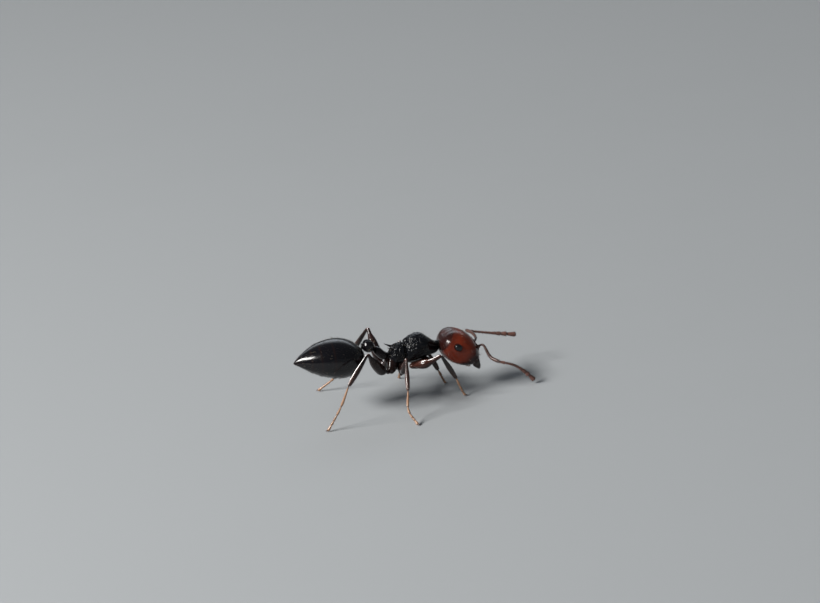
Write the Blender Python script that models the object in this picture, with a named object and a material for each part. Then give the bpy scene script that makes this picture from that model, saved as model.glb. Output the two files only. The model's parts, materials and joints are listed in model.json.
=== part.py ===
"""A red-headed acrobat ant worker, life size, walking with its gaster carried level behind it.

The tables below are in millimetres, in the trunk's own frame: x to the ant's left, y to its rear, z up, with
the origin in the middle of the trunk. The whole ant is then set on the floor, in metres, at z = 0.
"""

import bpy
import numpy as np

MM = 0.001

# Gap left between two pieces that meet, and the height of the trunk's middle above the floor.
GAP = 0.008
TRUNK_HEIGHT = 1.15

# Head: an egg flattened from above, nose down, with the mouth parts at its low end.
HEAD_CENTRE = (0.0, -1.308, -0.16)
HEAD_PITCH = 41.0
HEAD_LENGTH = 1.08
HEAD_HALF_WIDTH = 0.57
HEAD_CROWN = 0.40
HEAD_THROAT = 0.37
HEAD_POWER = 2.3
EYE_LENGTH = 0.18
EYE_HEIGHT = 0.165
EYE_BULGE = 0.05
EYE_PLACE = 0.31
EYE_RISE = 0.06

# Jaws: levels across their thickness. Each is (level, how far its outline is drawn in, how long it is).
MANDIBLE_LEVELS = ((-0.5, 0.1, 0.97), (-0.3, 0.0, 0.86), (0.0, 0.0, 0.65), (0.3, 0.0, 0.60), (0.5, 0.1, 0.58))
MANDIBLE_THICKNESS = 0.25
MANDIBLE_TIP = 1.175

# Trunk: stations from the neck to the waist. Each is (y, middle z, half width, height above the middle,
# depth below the middle).
FORE_TRUNK = (
    (-0.80, 0.02, 0.117, 0.095, 0.115),
    (-0.745, 0.015, 0.15, 0.12, 0.155),
    (-0.68, 0.03, 0.185, 0.15, 0.19),
    (-0.59, 0.06, 0.24, 0.205, 0.225),
    (-0.47, 0.07, 0.305, 0.30, 0.255),
    (-0.32, 0.06, 0.335, 0.355, 0.27),
    (-0.16, 0.03, 0.315, 0.335, 0.27),
    (-0.03, 0.01, 0.275, 0.295, 0.26),
    (0.02, 0.00, 0.25, 0.27, 0.25),
)
REAR_TRUNK = (
    (0.03, 0.00, 0.245, 0.255, 0.245),
    (0.08, 0.00, 0.26, 0.265, 0.245),
    (0.18, 0.00, 0.275, 0.245, 0.235),
    (0.29, 0.00, 0.265, 0.205, 0.205),
    (0.36, -0.02, 0.225, 0.11, 0.14),
    (0.41, -0.03, 0.15, 0.06, 0.075),
)
SPINE_LENGTH = 0.235
SPINE_RADIUS = 0.048
SPINE_SPREAD = 14.5
SPINE_LIFT = 24.0

# Waist: the petiole climbs from the trunk to the round postpetiole. Each station is
# (y, middle z, half width, height above the middle, depth below the middle).
PETIOLE = (
    (0.445, 0.00, 0.085, 0.06, 0.07),
    (0.495, 0.02, 0.15, 0.08, 0.10),
    (0.56, 0.07, 0.175, 0.09, 0.12),
    (0.63, 0.135, 0.155, 0.105, 0.11),
    (0.69, 0.20, 0.115, 0.095, 0.09),
    (0.72, 0.235, 0.08, 0.07, 0.06),
)
POSTPETIOLE_START = (0.0, 0.73, 0.25)
POSTPETIOLE_END = (0.0, 0.995, 0.395)
POSTPETIOLE_HALF_WIDTH = 0.18
POSTPETIOLE_HALF_DEPTH = 0.145

# Gaster: a pointed heart. It is parted where one tergite ends and the next begins.
GASTER_START = (0.0, 0.99, 0.142)
GASTER_TIP = (0.0, 2.715, 0.255)
GASTER_HALF_WIDTH = 0.61
GASTER_TOP = 0.468
GASTER_BELLY = 0.492
TERGITE_ENDS = (0.47, 0.645, 0.77)

# Legs. Coxae are mirrored: (root, tip) for the right side. A pose gives the knee, the heel, the foot's x and
# y, and how far the tarsus bends off the straight line in its middle. A femur bows (outwards, downwards).
COXAE = {
    "front": ((-0.165, -0.52, -0.30), (-0.31, 0.0, -0.275)),
    "middle": ((-0.15, 0.165, -0.285), (-0.235, 0.22, -0.455)),
    "hind": ((-0.165, 0.375, -0.22), (-0.28, 0.50, -0.34)),
}
COXA_RADIUS = {"front": 0.104, "middle": 0.11, "hind": 0.12}
POSES = {
    "right": {
        "front": ((-0.80, -0.70, -0.01), (-0.62, -1.02, -0.69), (-0.70, -1.16), (0.0, 0.0, -0.04)),
        "middle": ((-1.02, 0.19, 0.13), (-1.50, 0.345, -0.47), (-2.17, 0.35), (-0.02, 0.12, -0.05)),
        "hind": ((-0.90, 1.07, 0.41), (-1.35, 1.71, -0.12), (-1.30, 2.34), (0.0, -0.05, 0.0)),
    },
    "left": {
        "front": ((0.78, -0.71, -0.39), (0.66, -0.87, -0.82), (0.52, -0.97), (0.0, 0.0, -0.02)),
        "middle": ((0.93, -0.09, 0.00), (1.30, -0.10, -0.60), (1.62, -0.08), (0.0, 0.0, -0.06)),
        "hind": ((1.10, 0.61, 0.43), (1.42, 1.16, -0.36), (1.88, 1.87), (0.0, -0.05, -0.06)),
    },
}
FEMUR_RADIUS = {"front": 0.112, "middle": 0.095, "hind": 0.125}
FEMUR_FULLNESS = {"front": (0.84, 1.0, 0.60), "middle": (0.86, 1.0, 0.82), "hind": (0.86, 1.0, 0.82)}
TIBIA_RADIUS = {"front": 0.062, "middle": 0.060, "hind": 0.066}
FEMUR_BOW = {"front": (0.085, 0.04), "middle": (0.0, 0.05), "hind": (0.0, 0.13)}
HIP_KNOB = 0.055
KNEE_KNOB = 0.054
HEEL_RADIUS = 0.034
TARSUS_RADIUS = 0.034
TARSOMERES = (0.44, 0.19, 0.13, 0.09, 0.15)

# Antennae: points that each scape and each funiculus passes through.
SCAPES = {
    "right": ((-0.30, -1.845, -0.12), (-0.50, -1.935, -0.375), (-0.72, -2.08, -0.465)),
    "left": ((0.40, -1.83, -0.13), (0.68, -1.82, -0.075), (0.93, -1.74, -0.065)),
}
FUNICULI = {
    "right": ((-0.77, -2.33, -0.56), (-0.77, -2.48, -0.65), (-0.78, -2.68, -0.84), (-0.79, -2.86, -1.065)),
    "left": ((0.95, -1.93, -0.14), (0.93, -2.43, -0.28), (0.90, -2.92, -0.40)),
}
SOCKET_PLACE = 0.79
SOCKET_SPACING = 0.42
SOCKET_STEP = 0.03
SCAPE_RADIUS = 0.036
FUNICULUS_RADIUS = 0.033
CLUB_RADIUS = 0.056
FUNICULUS_SEGMENTS = (0.26, 0.11, 0.11, 0.12, 0.12, 0.13, 0.15)
CLUB_SEGMENTS = (0.27, 0.28, 0.45)
CLUB_SHARE = 0.42

# Linear colour, roughness.
HEAD_RED = ((0.20, 0.022, 0.006), 0.22)
MOUTH_BROWN = ((0.045, 0.008, 0.004), 0.30)
EYE_BLACK = ((0.006, 0.006, 0.007), 0.25)
BODY_BLACK = ((0.007, 0.007, 0.010), 0.28)
LEG_BROWN = ((0.030, 0.011, 0.007), 0.32)
TARSUS_BROWN = ((0.16, 0.060, 0.028), 0.40)
ANTENNA_BROWN = ((0.075, 0.024, 0.015), 0.38)


def clear_scene():
    for existing in list(bpy.data.objects):
        bpy.data.objects.remove(existing, do_unlink=True)


def finish_material(name, look):
    colour, roughness = look
    material = bpy.data.materials.new(name)
    material.use_nodes = True
    shader = material.node_tree.nodes["Principled BSDF"]
    shader.inputs["Base Color"].default_value = (*colour, 1.0)
    shader.inputs["Roughness"].default_value = roughness
    material.diffuse_color = (*colour, 1.0)
    return material


def unit(vector):
    vector = np.asarray(vector, float)
    return vector / np.linalg.norm(vector)


def swell(t, rise, fall):
    """A profile that is 0 at both ends and 1 at its widest: t to a power, times 1 - t to another."""
    widest = rise / (rise + fall)
    return t**rise * (1 - t) ** fall / (widest**rise * (1 - widest) ** fall)


def eased(count, first=0.0, last=1.0):
    """Parameters that lie closer together at both ends, where a rounded body turns in."""
    return first + (last - first) * 0.5 * (1 - np.cos(np.pi * np.linspace(0, 1, count)))


def through(points, count):
    """A smooth curve (Catmull-Rom) through the points, as count rows spread evenly over its spans."""
    points = np.asarray(points, float)
    ends = np.vstack([2 * points[0] - points[1], points, 2 * points[-1] - points[-2]])
    place = np.linspace(0, len(points) - 1, count)
    span = np.minimum(place.astype(int), len(points) - 2)
    u = (place - span)[:, None]
    a, b, c, d = ends[span], ends[span + 1], ends[span + 2], ends[span + 3]
    return 0.5 * (2 * b + (c - a) * u + (2 * a - 5 * b + 4 * c - d) * u**2 + (3 * b - a - 3 * c + d) * u**3)


def along(path, shares):
    """Points and unit directions at the given shares of a path's length."""
    steps = np.linalg.norm(np.diff(path, axis=0), axis=1)
    length = np.concatenate([[0], np.cumsum(steps)])
    wanted = np.asarray(shares) * length[-1]
    points = np.stack([np.interp(wanted, length, path[:, k]) for k in range(3)], axis=1)
    slopes = np.gradient(path, length, axis=0)
    directions = np.stack([np.interp(wanted, length, slopes[:, k]) for k in range(3)], axis=1)
    return points, directions / np.linalg.norm(directions, axis=1, keepdims=True)


def set_back(before, after, knob):
    """How far beyond a joint the next segment starts: the more the limb bends there, the further."""
    bend = np.arccos(np.clip(unit(before) @ unit(after), -1, 1))
    return GAP + knob * np.sin(min(bend, np.pi / 2))


def oval(middle, side, up, half_width, top, bottom, around, power=2.0):
    """One ring: an oval of its own height above and below the middle. A power over 2 squares its corners."""
    angle = np.linspace(0, 2 * np.pi, around, endpoint=False)
    across = np.sign(np.cos(angle)) * np.abs(np.cos(angle)) ** (2 / power) * half_width
    lift = np.sign(np.sin(angle)) * np.abs(np.sin(angle)) ** (2 / power)
    lift = np.where(lift > 0, lift * top, lift * bottom)
    return np.asarray(middle) + across[:, None] * np.asarray(side) + lift[:, None] * np.asarray(up)


def tube_rings(points, directions, radii, around):
    """Round rings across a path. Their zero angle is turned away from the axis that the path runs along."""
    reference = np.eye(3)[np.argmin(np.abs(points[-1] - points[0]))]
    rings = []
    for point, direction, radius in zip(points, directions, radii):
        side = unit(np.cross(reference, direction))
        rings.append(oval(point, side, np.cross(direction, side), radius, radius, radius, around))
    return np.array(rings)


def skin(name, rings, material, root):
    """A closed mesh over rings of equal size, in millimetres, with a flat face at each end."""
    rings = np.asarray(rings)
    count, around = rings.shape[:2]
    faces = [tuple(reversed(range(around))), tuple(range((count - 1) * around, count * around))]
    for row in range(count - 1):
        for k in range(around):
            this, following = row * around + k, row * around + (k + 1) % around
            faces.append((this, following, following + around, this + around))
    return solid(name, rings.reshape(-1, 3), faces, material, root)


def solid(name, points, faces, material, root):
    """An object from points in millimetres, with its faces turned outwards."""
    mesh = bpy.data.meshes.new(name)
    mesh.from_pydata((np.asarray(points) * MM).tolist(), [], faces)
    mesh.validate()
    turn_outwards(mesh)
    mesh.shade_smooth()
    mesh.set_sharp_from_angle(angle=np.radians(50))
    mesh.materials.append(material)
    made = bpy.data.objects.new(name, mesh)
    made.parent = root
    bpy.context.scene.collection.objects.link(made)
    return made


def turn_outwards(mesh):
    """Flips a closed mesh whose volume comes out negative."""
    mesh.calc_loop_triangles()
    corners = np.empty(len(mesh.loop_triangles) * 3, np.int32)
    mesh.loop_triangles.foreach_get("vertices", corners)
    places = np.empty(len(mesh.vertices) * 3)
    mesh.vertices.foreach_get("co", places)
    triangles = places.reshape(-1, 3)[corners.reshape(-1, 3)] / MM
    if np.linalg.det(triangles).sum() < 0:
        mesh.flip_normals()


def station_rings(stations, count, around, power, square=False):
    """Rings through a table of stations, upright or square to the line of their middles."""
    rows = through(stations, count)
    rings = []
    for (y, z, half_width, top, bottom), step in zip(rows, np.gradient(rows[:, :2], axis=0)):
        lean = unit((0.0, -step[1], step[0])) if square else (0.0, 0.0, 1.0)
        rings.append(oval((0.0, y, z), (1.0, 0.0, 0.0), lean, half_width, top, bottom, around, power))
    return rings


def head_frame():
    pitch = np.radians(HEAD_PITCH)
    forward = np.array((0.0, -np.cos(pitch), -np.sin(pitch)))
    crown = np.array((0.0, -np.sin(pitch), np.cos(pitch)))
    return np.array(HEAD_CENTRE), forward, crown


def head_sizes(t):
    """Half width, crown height and throat depth at share t of the head's length, from rear to front."""
    return (
        HEAD_HALF_WIDTH * swell(t, 0.28, 0.39),
        HEAD_CROWN * swell(t, 0.50, 0.68),
        HEAD_THROAT * swell(t, 0.42, 0.56),
    )


def head_point(across, t, rise):
    """A place in the head's frame: across to the left, share t forwards and rise towards the crown."""
    centre, forward, crown = head_frame()
    return centre + np.array((across, 0, 0)) + forward * HEAD_LENGTH * (t - 0.5) + crown * rise


def make_head(root):
    _, _, crown = head_frame()
    rings = []
    for t in eased(14, 0.004, 0.992):
        half_width, top, bottom = head_sizes(t)
        rings.append(oval(head_point(0, t, 0), (1, 0, 0), crown, half_width, top, bottom, 26, HEAD_POWER))
    skin("head", rings, finish_material("head_red", HEAD_RED), root)


def make_eyes(root):
    """Low domes of oval outline on the sides of the head."""
    material = finish_material("eye_black", EYE_BLACK)
    _, forward, crown = head_frame()
    for name, sign in (("eye_right", -1), ("eye_left", 1)):
        rings = []
        for lift in eased(5, 0.0, 0.97):
            shrink = np.sqrt(1 - lift**2)
            centre = head_point(sign * (HEAD_HALF_WIDTH + GAP / 2 + EYE_BULGE * lift), EYE_PLACE, EYE_RISE)
            size = shrink * EYE_LENGTH / 2, shrink * EYE_HEIGHT / 2
            rings.append(oval(centre, forward, crown, size[0], size[1], size[1], 16))
        skin(name, rings, material, root)


def make_mandibles(root):
    """Triangular jaws, closed, with one long tooth at the tip and three short ones behind it."""
    material = finish_material("mouth_brown", MOUTH_BROWN)
    outline = [(0.10, 0.885), (0.24, 0.875), (0.285, 0.91), (0.275, 0.99), (0.21, 1.08), (0.12, 1.145)]
    outline.append((0.012, MANDIBLE_TIP))
    for tooth in range(3):
        outline.append((0.05, 1.125 - 0.05 * tooth))
        outline.append((0.014, 1.105 - 0.05 * tooth))
    outline.append((0.06, 0.975))
    for name, sign in (("mandible_right", -1), ("mandible_left", 1)):
        rings = []
        for level, inset, length in MANDIBLE_LEVELS:
            ring = []
            for across, t in outline:
                across += inset * (0.15 - across)
                t = MANDIBLE_TIP - (MANDIBLE_TIP - t) * length
                thickness = MANDIBLE_THICKNESS * ((1.18 - t) / 0.18) ** 0.6
                rise = -0.085 - 0.08 * ((t - 0.95) / 0.22) ** 2 + level * thickness
                ring.append(head_point(sign * across, t, rise))
            rings.append(ring)
        skin(name, rings, material, root)


def make_trunk(root):
    """The arched fore trunk, and the lower propodeum behind the groove with its two spines."""
    material = finish_material("body_black", BODY_BLACK)
    skin("fore_trunk", station_rings(FORE_TRUNK, 14, 24, 2.2), material, root)
    propodeum = skin("propodeum", station_rings(REAR_TRUNK, 9, 24, 2.4), material, root)
    for sign in (-1, 1):
        spread, lift = np.radians(SPINE_SPREAD), np.radians(SPINE_LIFT)
        direction = (sign * np.sin(spread), np.cos(spread) * np.cos(lift), np.cos(spread) * np.sin(lift))
        base = np.array((sign * 0.137, 0.24, 0.138))
        shares = np.array((0.0, 0.35, 0.7, 1.0))
        points = base + np.outer(shares * SPINE_LENGTH, direction)
        radii = SPINE_RADIUS * np.array((1.15, 0.85, 0.45, 0.12))
        spine = skin(f"spine_{sign}", tube_rings(points, [direction] * 4, radii, 8), material, root)
        spine.hide_render = True
        spine.display_type = "WIRE"
        join = propodeum.modifiers.new("Spine", "BOOLEAN")
        join.operation = "UNION"
        join.object = spine
    return material


def make_waist(root, material):
    skin("petiole", station_rings(PETIOLE, 9, 18, 2.3, square=True), material, root)
    start, end = np.array(POSTPETIOLE_START), np.array(POSTPETIOLE_END)
    direction = unit(end - start)
    side = np.array((1.0, 0.0, 0.0))
    up = np.cross(side, direction)
    rings = []
    for t in eased(9, 0.02, 0.97):
        size = swell(t, 0.42, 0.38)
        depth = size * POSTPETIOLE_HALF_DEPTH
        middle = start + (end - start) * t
        rings.append(oval(middle, side, up, size * POSTPETIOLE_HALF_WIDTH, depth, depth, 18, 2.2))
    skin("postpetiole", rings, material, root)


def make_gaster(root, material):
    """Four lengths of one pointed heart, each ending where the next begins."""
    start, end = np.array(GASTER_START), np.array(GASTER_TIP)
    length = np.linalg.norm(end - start)
    side = np.array((1.0, 0.0, 0.0))
    up = np.cross(side, unit(end - start))
    borders = (0.004, *TERGITE_ENDS, 0.99)
    for k, count in enumerate((11, 4, 4, 5)):
        first = borders[k] + (GAP / 2 / length if k > 0 else 0)
        last = borders[k + 1] - (GAP / 2 / length if k < 3 else 0)
        shares = np.linspace(first, last, count)
        if k == 0:
            shares = first + (last - first) * np.linspace(0, 1, count) ** 1.8
        rings = []
        for t in shares:
            width = GASTER_HALF_WIDTH * swell(t, 0.50, 0.94)
            top = GASTER_TOP * swell(t, 0.62, 0.85)
            belly = GASTER_BELLY * swell(t, 0.50, 0.98)
            rings.append(oval(start + (end - start) * t, side, up, width, top, belly, 26, 2.1))
        skin(f"gaster_{k + 1}", rings, material, root)


def make_coxa(name, root_point, tip, radius, material, root):
    """A short cone, widest near the trunk, ending in a rounded knob."""
    points = np.array(root_point) + np.outer((0.0, 0.12, 0.35, 0.65, 0.9, 1.0), np.subtract(tip, root_point))
    direction = unit(np.subtract(tip, root_point))
    radii = radius * np.array((0.62, 0.90, 1.0, 0.78, 0.40, 0.26))
    skin(name, tube_rings(points, [direction] * 6, radii, 10), material, root)


def make_femur(name, before, hip, knee, thickness, bow, material, root):
    """The trochanter's small bulb, then a spindle that is bowed downwards and ends in the knee."""
    hip, knee = np.array(hip), np.array(knee)
    outwards, downwards = bow
    middle = (hip + knee) / 2 + np.array((outwards * np.sign(knee[0]), 0.0, -downwards))
    path = through((hip, middle, knee), 33)
    length = np.linalg.norm(knee - hip)
    start = set_back(hip - before, middle - hip, HIP_KNOB) / length
    bulb = start + np.array((0.0, 0.03, 0.07, 0.11))
    shares = np.array((*bulb, 0.30, 0.48, 0.68, 0.86, 0.96, 1.0))
    radii = np.array((0.022, 0.040, 0.038, 0.05, *thickness, 0.052, 0.045, 0.026))
    points, directions = along(path, shares)
    skin(name, tube_rings(points, directions, radii, 10), material, root)


def make_tibia(name, before, knee, heel, radius, material, root):
    """Narrow at the knee, widest beyond its middle, and cut off square at the heel."""
    knee, heel = np.array(knee), np.array(heel)
    length = np.linalg.norm(heel - knee)
    start = set_back(knee - before, heel - knee, KNEE_KNOB) / length
    shares = np.array((start, 0.13, 0.30, 0.55, 0.80, 0.95, 1.0))
    radii = np.array((0.022, 0.036, 0.80 * radius, radius, 0.93 * radius, 0.70 * radius, HEEL_RADIUS))
    points, directions = along(np.linspace(knee, heel, 9), shares)
    skin(name, tube_rings(points, directions, radii, 10), material, root)


def jointed_rings(path, first, last, segments, radii, around):
    """Rings of a row of small segments: each is pinched where it meets the next."""
    segments = np.array(segments) / np.sum(segments)
    starts = np.concatenate([[0], np.cumsum(segments)[:-1]])
    shares, sizes = [], []
    for start, share, radius in zip(starts, segments, radii):
        for place, size in ((0.0, 0.70), (0.35, 0.94), (0.88, 1.0)):
            shares.append(first + (last - first) * (start + place * share))
            sizes.append(radius * size)
    shares.append(last)
    sizes.append(radii[-1] * 0.40)
    points, directions = along(path, shares)
    return tube_rings(points, directions, sizes, around)


def make_tarsus(name, before, heel, foot, bend, material, root):
    """Five tarsomeres that come down to the floor, the last one flat where it stands on it."""
    floor = -TRUNK_HEIGHT
    heel = np.array(heel)
    foot = np.array((*foot, floor + TARSUS_RADIUS * 0.8))
    path = through((heel, (heel + foot) / 2 + np.array(bend), foot), 33)
    start = set_back(heel - before, path[3] - heel, HEEL_RADIUS) / np.linalg.norm(foot - heel)
    radii = TARSUS_RADIUS * np.array((1.0, 0.9, 0.88, 0.9, 1.15))
    rings = jointed_rings(path, start, 1.0, TARSOMERES, radii, 7)
    rings[..., 2] = np.maximum(rings[..., 2], floor)
    skin(name, rings, material, root)


def make_legs(root):
    brown = finish_material("leg_brown", LEG_BROWN)
    pale = finish_material("tarsus_brown", TARSUS_BROWN)
    for side, sign in (("right", 1), ("left", -1)):
        for pair, (coxa_root, coxa_tip) in COXAE.items():
            top = np.multiply(coxa_root, (sign, 1, 1))
            hip = np.multiply(coxa_tip, (sign, 1, 1))
            knee, heel, foot, bend = POSES[side][pair]
            name = f"{pair}_{side}"
            make_coxa(f"{name}_coxa", top, hip, COXA_RADIUS[pair], brown, root)
            thickness = np.multiply(FEMUR_FULLNESS[pair], FEMUR_RADIUS[pair])
            make_femur(f"{name}_femur", top, hip, knee, thickness, FEMUR_BOW[pair], brown, root)
            make_tibia(f"{name}_tibia", hip, knee, heel, TIBIA_RADIUS[pair], brown, root)
            make_tarsus(f"{name}_tarsus", knee, heel, foot, bend, pale, root)


def make_antennae(root):
    """A bent scape, then the elbow and a funiculus of ten segments, the last three of them a club."""
    material = finish_material("antenna_brown", ANTENNA_BROWN)
    half_width, top, _ = head_sizes(SOCKET_PLACE)
    across = SOCKET_SPACING * half_width
    rise = top * (1 - SOCKET_SPACING**HEAD_POWER) ** (1 / HEAD_POWER) + SOCKET_STEP
    for side, sign in (("right", -1), ("left", 1)):
        socket = head_point(sign * across, SOCKET_PLACE, rise)
        scape_path = through((socket, *SCAPES[side]), 41)
        shares = np.array((0.0, 0.06, 0.14, 0.35, 0.65, 0.90, 0.97, 1.0))
        radii = SCAPE_RADIUS * np.array((0.75, 0.95, 0.72, 0.85, 1.05, 1.15, 0.95, 0.5))
        points, directions = along(scape_path, shares)
        skin(f"antenna_{side}_scape", tube_rings(points, directions, radii, 8), material, root)
        path = through((SCAPES[side][-1], *FUNICULI[side]), 61)
        length = np.linalg.norm(np.diff(path, axis=0), axis=1).sum()
        split = 1 - CLUB_SHARE
        half_gap = GAP / 2 / length
        sizes = FUNICULUS_RADIUS * np.array((1.1, 0.86, 0.86, 0.9, 0.95, 1.0, 1.12))
        start = set_back(directions[-1], path[3] - path[0], SCAPE_RADIUS) / length
        rings = jointed_rings(path, start, split - half_gap, FUNICULUS_SEGMENTS, sizes, 8)
        skin(f"antenna_{side}_funiculus", rings, material, root)
        sizes = CLUB_RADIUS * np.array((0.84, 1.0, 0.98))
        rings = jointed_rings(path, split + half_gap, 1.0, CLUB_SEGMENTS, sizes, 10)
        skin(f"antenna_{side}_club", rings, material, root)


def stand_on_floor(root):
    """Moves the whole ant so that its box stands centred on the origin, with its soles at z = 0."""
    lows, highs = [], []
    for piece in root.children:
        corners = np.array(piece.bound_box)
        lows.append(corners.min(axis=0))
        highs.append(corners.max(axis=0))
    low, high = np.min(lows, axis=0), np.max(highs, axis=0)
    root.location = (-(low[0] + high[0]) / 2, -(low[1] + high[1]) / 2, TRUNK_HEIGHT * MM)


def main():
    clear_scene()
    root = bpy.data.objects.new("ant", None)
    bpy.context.scene.collection.objects.link(root)
    make_head(root)
    make_eyes(root)
    make_mandibles(root)
    black = make_trunk(root)
    make_waist(root, black)
    make_gaster(root, black)
    make_legs(root)
    make_antennae(root)
    stand_on_floor(root)


main()
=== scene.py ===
"""A life-size red-headed acrobat ant: shell, eyes, jaws, limbs and hairs on its solids, on a pale floor.

The tables are in millimetres in the trunk's own frame: x to the ant's left, y to its rear and z up, from the
middle of the trunk. in_place() turns such points into metres where the frame's solids stand.
"""

import json
import math

import bpy
import numpy as np
from bpy.props import FloatProperty, FloatVectorProperty, IntProperty, PointerProperty
from mathutils import Matrix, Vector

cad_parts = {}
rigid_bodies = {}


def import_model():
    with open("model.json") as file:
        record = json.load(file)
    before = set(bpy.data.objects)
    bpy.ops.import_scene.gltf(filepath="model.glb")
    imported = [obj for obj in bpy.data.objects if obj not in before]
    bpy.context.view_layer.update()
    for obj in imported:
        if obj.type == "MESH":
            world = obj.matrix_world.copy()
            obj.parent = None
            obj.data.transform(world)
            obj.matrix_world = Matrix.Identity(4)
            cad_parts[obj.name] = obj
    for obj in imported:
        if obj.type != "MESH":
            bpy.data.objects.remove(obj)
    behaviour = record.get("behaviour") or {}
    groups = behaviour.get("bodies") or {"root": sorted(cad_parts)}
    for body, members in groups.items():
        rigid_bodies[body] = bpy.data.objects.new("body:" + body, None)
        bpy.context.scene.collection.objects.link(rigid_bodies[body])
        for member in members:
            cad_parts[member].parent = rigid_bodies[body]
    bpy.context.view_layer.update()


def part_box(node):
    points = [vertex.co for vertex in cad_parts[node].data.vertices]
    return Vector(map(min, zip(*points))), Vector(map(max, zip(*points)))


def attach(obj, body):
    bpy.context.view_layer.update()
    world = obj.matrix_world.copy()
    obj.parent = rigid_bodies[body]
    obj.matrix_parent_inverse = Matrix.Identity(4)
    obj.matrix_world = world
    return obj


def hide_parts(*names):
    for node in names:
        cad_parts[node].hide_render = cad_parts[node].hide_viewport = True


bl_info = {
    "name": "Acrobat Ant",
    "version": (1, 0, 0),
    "blender": (4, 5, 0),
    "location": "View3D > Sidebar > Ant",
    "description": "Dresses the solids of a life-size ant in shell, eyes, jaws, limbs and hairs",
    "category": "Add Mesh",
}

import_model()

MM = 0.001
FLOOR = -1.15
NECK_FRONT = -0.80
TRUNK_LOW, TRUNK_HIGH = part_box("fore_trunk")
TRUNK_MIDDLE = np.array(((TRUNK_LOW[0] + TRUNK_HIGH[0]) / 2, TRUNK_LOW[1] - NECK_FRONT * MM, -FLOOR * MM))
THINNEST = 0.001
SIDES = {"right": -1, "left": 1}
PAIRS = ("front", "middle", "hind")
ACROSS = np.array((1.0, 0.0, 0.0))
UPWARDS = np.array((0.0, 0.0, 1.0))

# Head: share t runs from its rear pole to its mouth.
HEAD_CENTRE = (0.0, -1.308, -0.16)
HEAD_PITCH = 41.0
HEAD_LENGTH = 1.08
HEAD_HALF_WIDTH = 0.57
HEAD_CROWN = 0.40
HEAD_THROAT = 0.37
HEAD_POWER = 2.3
EYE_PLACE = 0.31
EYE_RISE = 0.06
EYE_LENGTH = 0.18
EYE_HEIGHT = 0.165
EYE_BULGE = 0.055
SOCKET_PLACE = 0.79
SOCKET_SPACING = 0.42

# Lines on the head as (across, share), and the middle of a jaw as (across, share, rise).
BROW_RIDGE = ((0.085, 0.64), (0.115, 0.72), (0.125, 0.80), (0.15, 0.86))
LIP_SEAM = ((0.005, 0.81), (0.08, 0.835), (0.15, 0.89), (0.19, 0.94))
JAW_LINE = (
    (0.20, 0.90, -0.035),
    (0.21, 0.96, -0.060),
    (0.19, 1.02, -0.098),
    (0.13, 1.08, -0.130),
    (0.035, 1.160, -0.158),
)

# Trunk: (y, middle z, half width, height above the middle, depth below the middle).
TRUNK_STATIONS = (
    (-0.80, 0.02, 0.117, 0.095, 0.115),
    (-0.745, 0.015, 0.15, 0.12, 0.155),
    (-0.68, 0.03, 0.185, 0.15, 0.19),
    (-0.59, 0.06, 0.24, 0.205, 0.225),
    (-0.47, 0.07, 0.305, 0.30, 0.255),
    (-0.32, 0.06, 0.335, 0.355, 0.27),
    (-0.16, 0.03, 0.315, 0.335, 0.27),
    (-0.03, 0.01, 0.275, 0.295, 0.26),
    (0.025, 0.00, 0.25, 0.265, 0.248),
    (0.08, 0.00, 0.26, 0.265, 0.245),
    (0.18, 0.00, 0.275, 0.245, 0.235),
    (0.29, 0.00, 0.265, 0.205, 0.205),
    (0.36, -0.02, 0.225, 0.11, 0.14),
    (0.41, -0.03, 0.15, 0.06, 0.075),
)
GROOVE_PLACE = 0.025

# Forms of both flanks: lines of seams, holes as (middle, radius) and bumps as (middle, height, width).
TRUNK_SEAMS = (
    ((0.33, -0.36, 0.20), (0.36, -0.42, 0.02), (0.30, -0.36, -0.20)),
    ((0.33, 0.02, 0.10), (0.33, 0.0, -0.05), (0.30, -0.03, -0.22)),
    ((0.33, -0.33, -0.02), (0.34, -0.20, -0.05), (0.33, -0.02, -0.03)),
)
BREATHING_HOLES = (((0.27, 0.26, 0.05), 0.030), ((0.31, -0.12, 0.10), 0.018))
TRUNK_BUMPS = (((0.24, 0.31, -0.12), 0.030, 0.085), ((0.24, -0.50, 0.18), 0.018, 0.09))

# The left spine: the middle of its foot, its size, and its angles in degrees outwards and upwards.
SPINE_BASE = (0.137, 0.24, 0.138)
SPINE_LENGTH = 0.235
SPINE_RADIUS = 0.048
SPINE_SPREAD = 14.5
SPINE_LIFT = 24.0

# Waist and gaster.
PETIOLE_STATIONS = (
    (0.435, 0.00, 0.080, 0.055, 0.065),
    (0.495, 0.02, 0.15, 0.08, 0.10),
    (0.56, 0.07, 0.175, 0.09, 0.12),
    (0.63, 0.135, 0.155, 0.105, 0.11),
    (0.69, 0.20, 0.115, 0.095, 0.09),
    (0.725, 0.24, 0.07, 0.06, 0.055),
)
POSTPETIOLE_START = (0.0, 0.73, 0.25)
POSTPETIOLE_END = (0.0, 0.995, 0.395)
POSTPETIOLE_HALF_WIDTH = 0.18
POSTPETIOLE_HALF_DEPTH = 0.145
WAIST_JOINTS = (  # (start, end, radius)
    ((0, 0.36, -0.005), (0, 0.47, 0.01), 0.075),
    ((0, 0.69, 0.20), (0, 0.78, 0.275), 0.060),
    ((0, 0.90, 0.335), (0, 1.03, 0.35), 0.075),
)
GASTER_START = (0.0, 0.99, 0.142)
GASTER_TIP = (0.0, 2.715, 0.255)
GASTER_HALF_WIDTH = 0.61
GASTER_TOP = 0.468
GASTER_BELLY = 0.492
TERGITE_ENDS = (0.47, 0.645, 0.77, 0.99)
TERGITE_ROWS = (200, 90, 80, 110)
TERGITE_OVERLAP = 0.03

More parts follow.
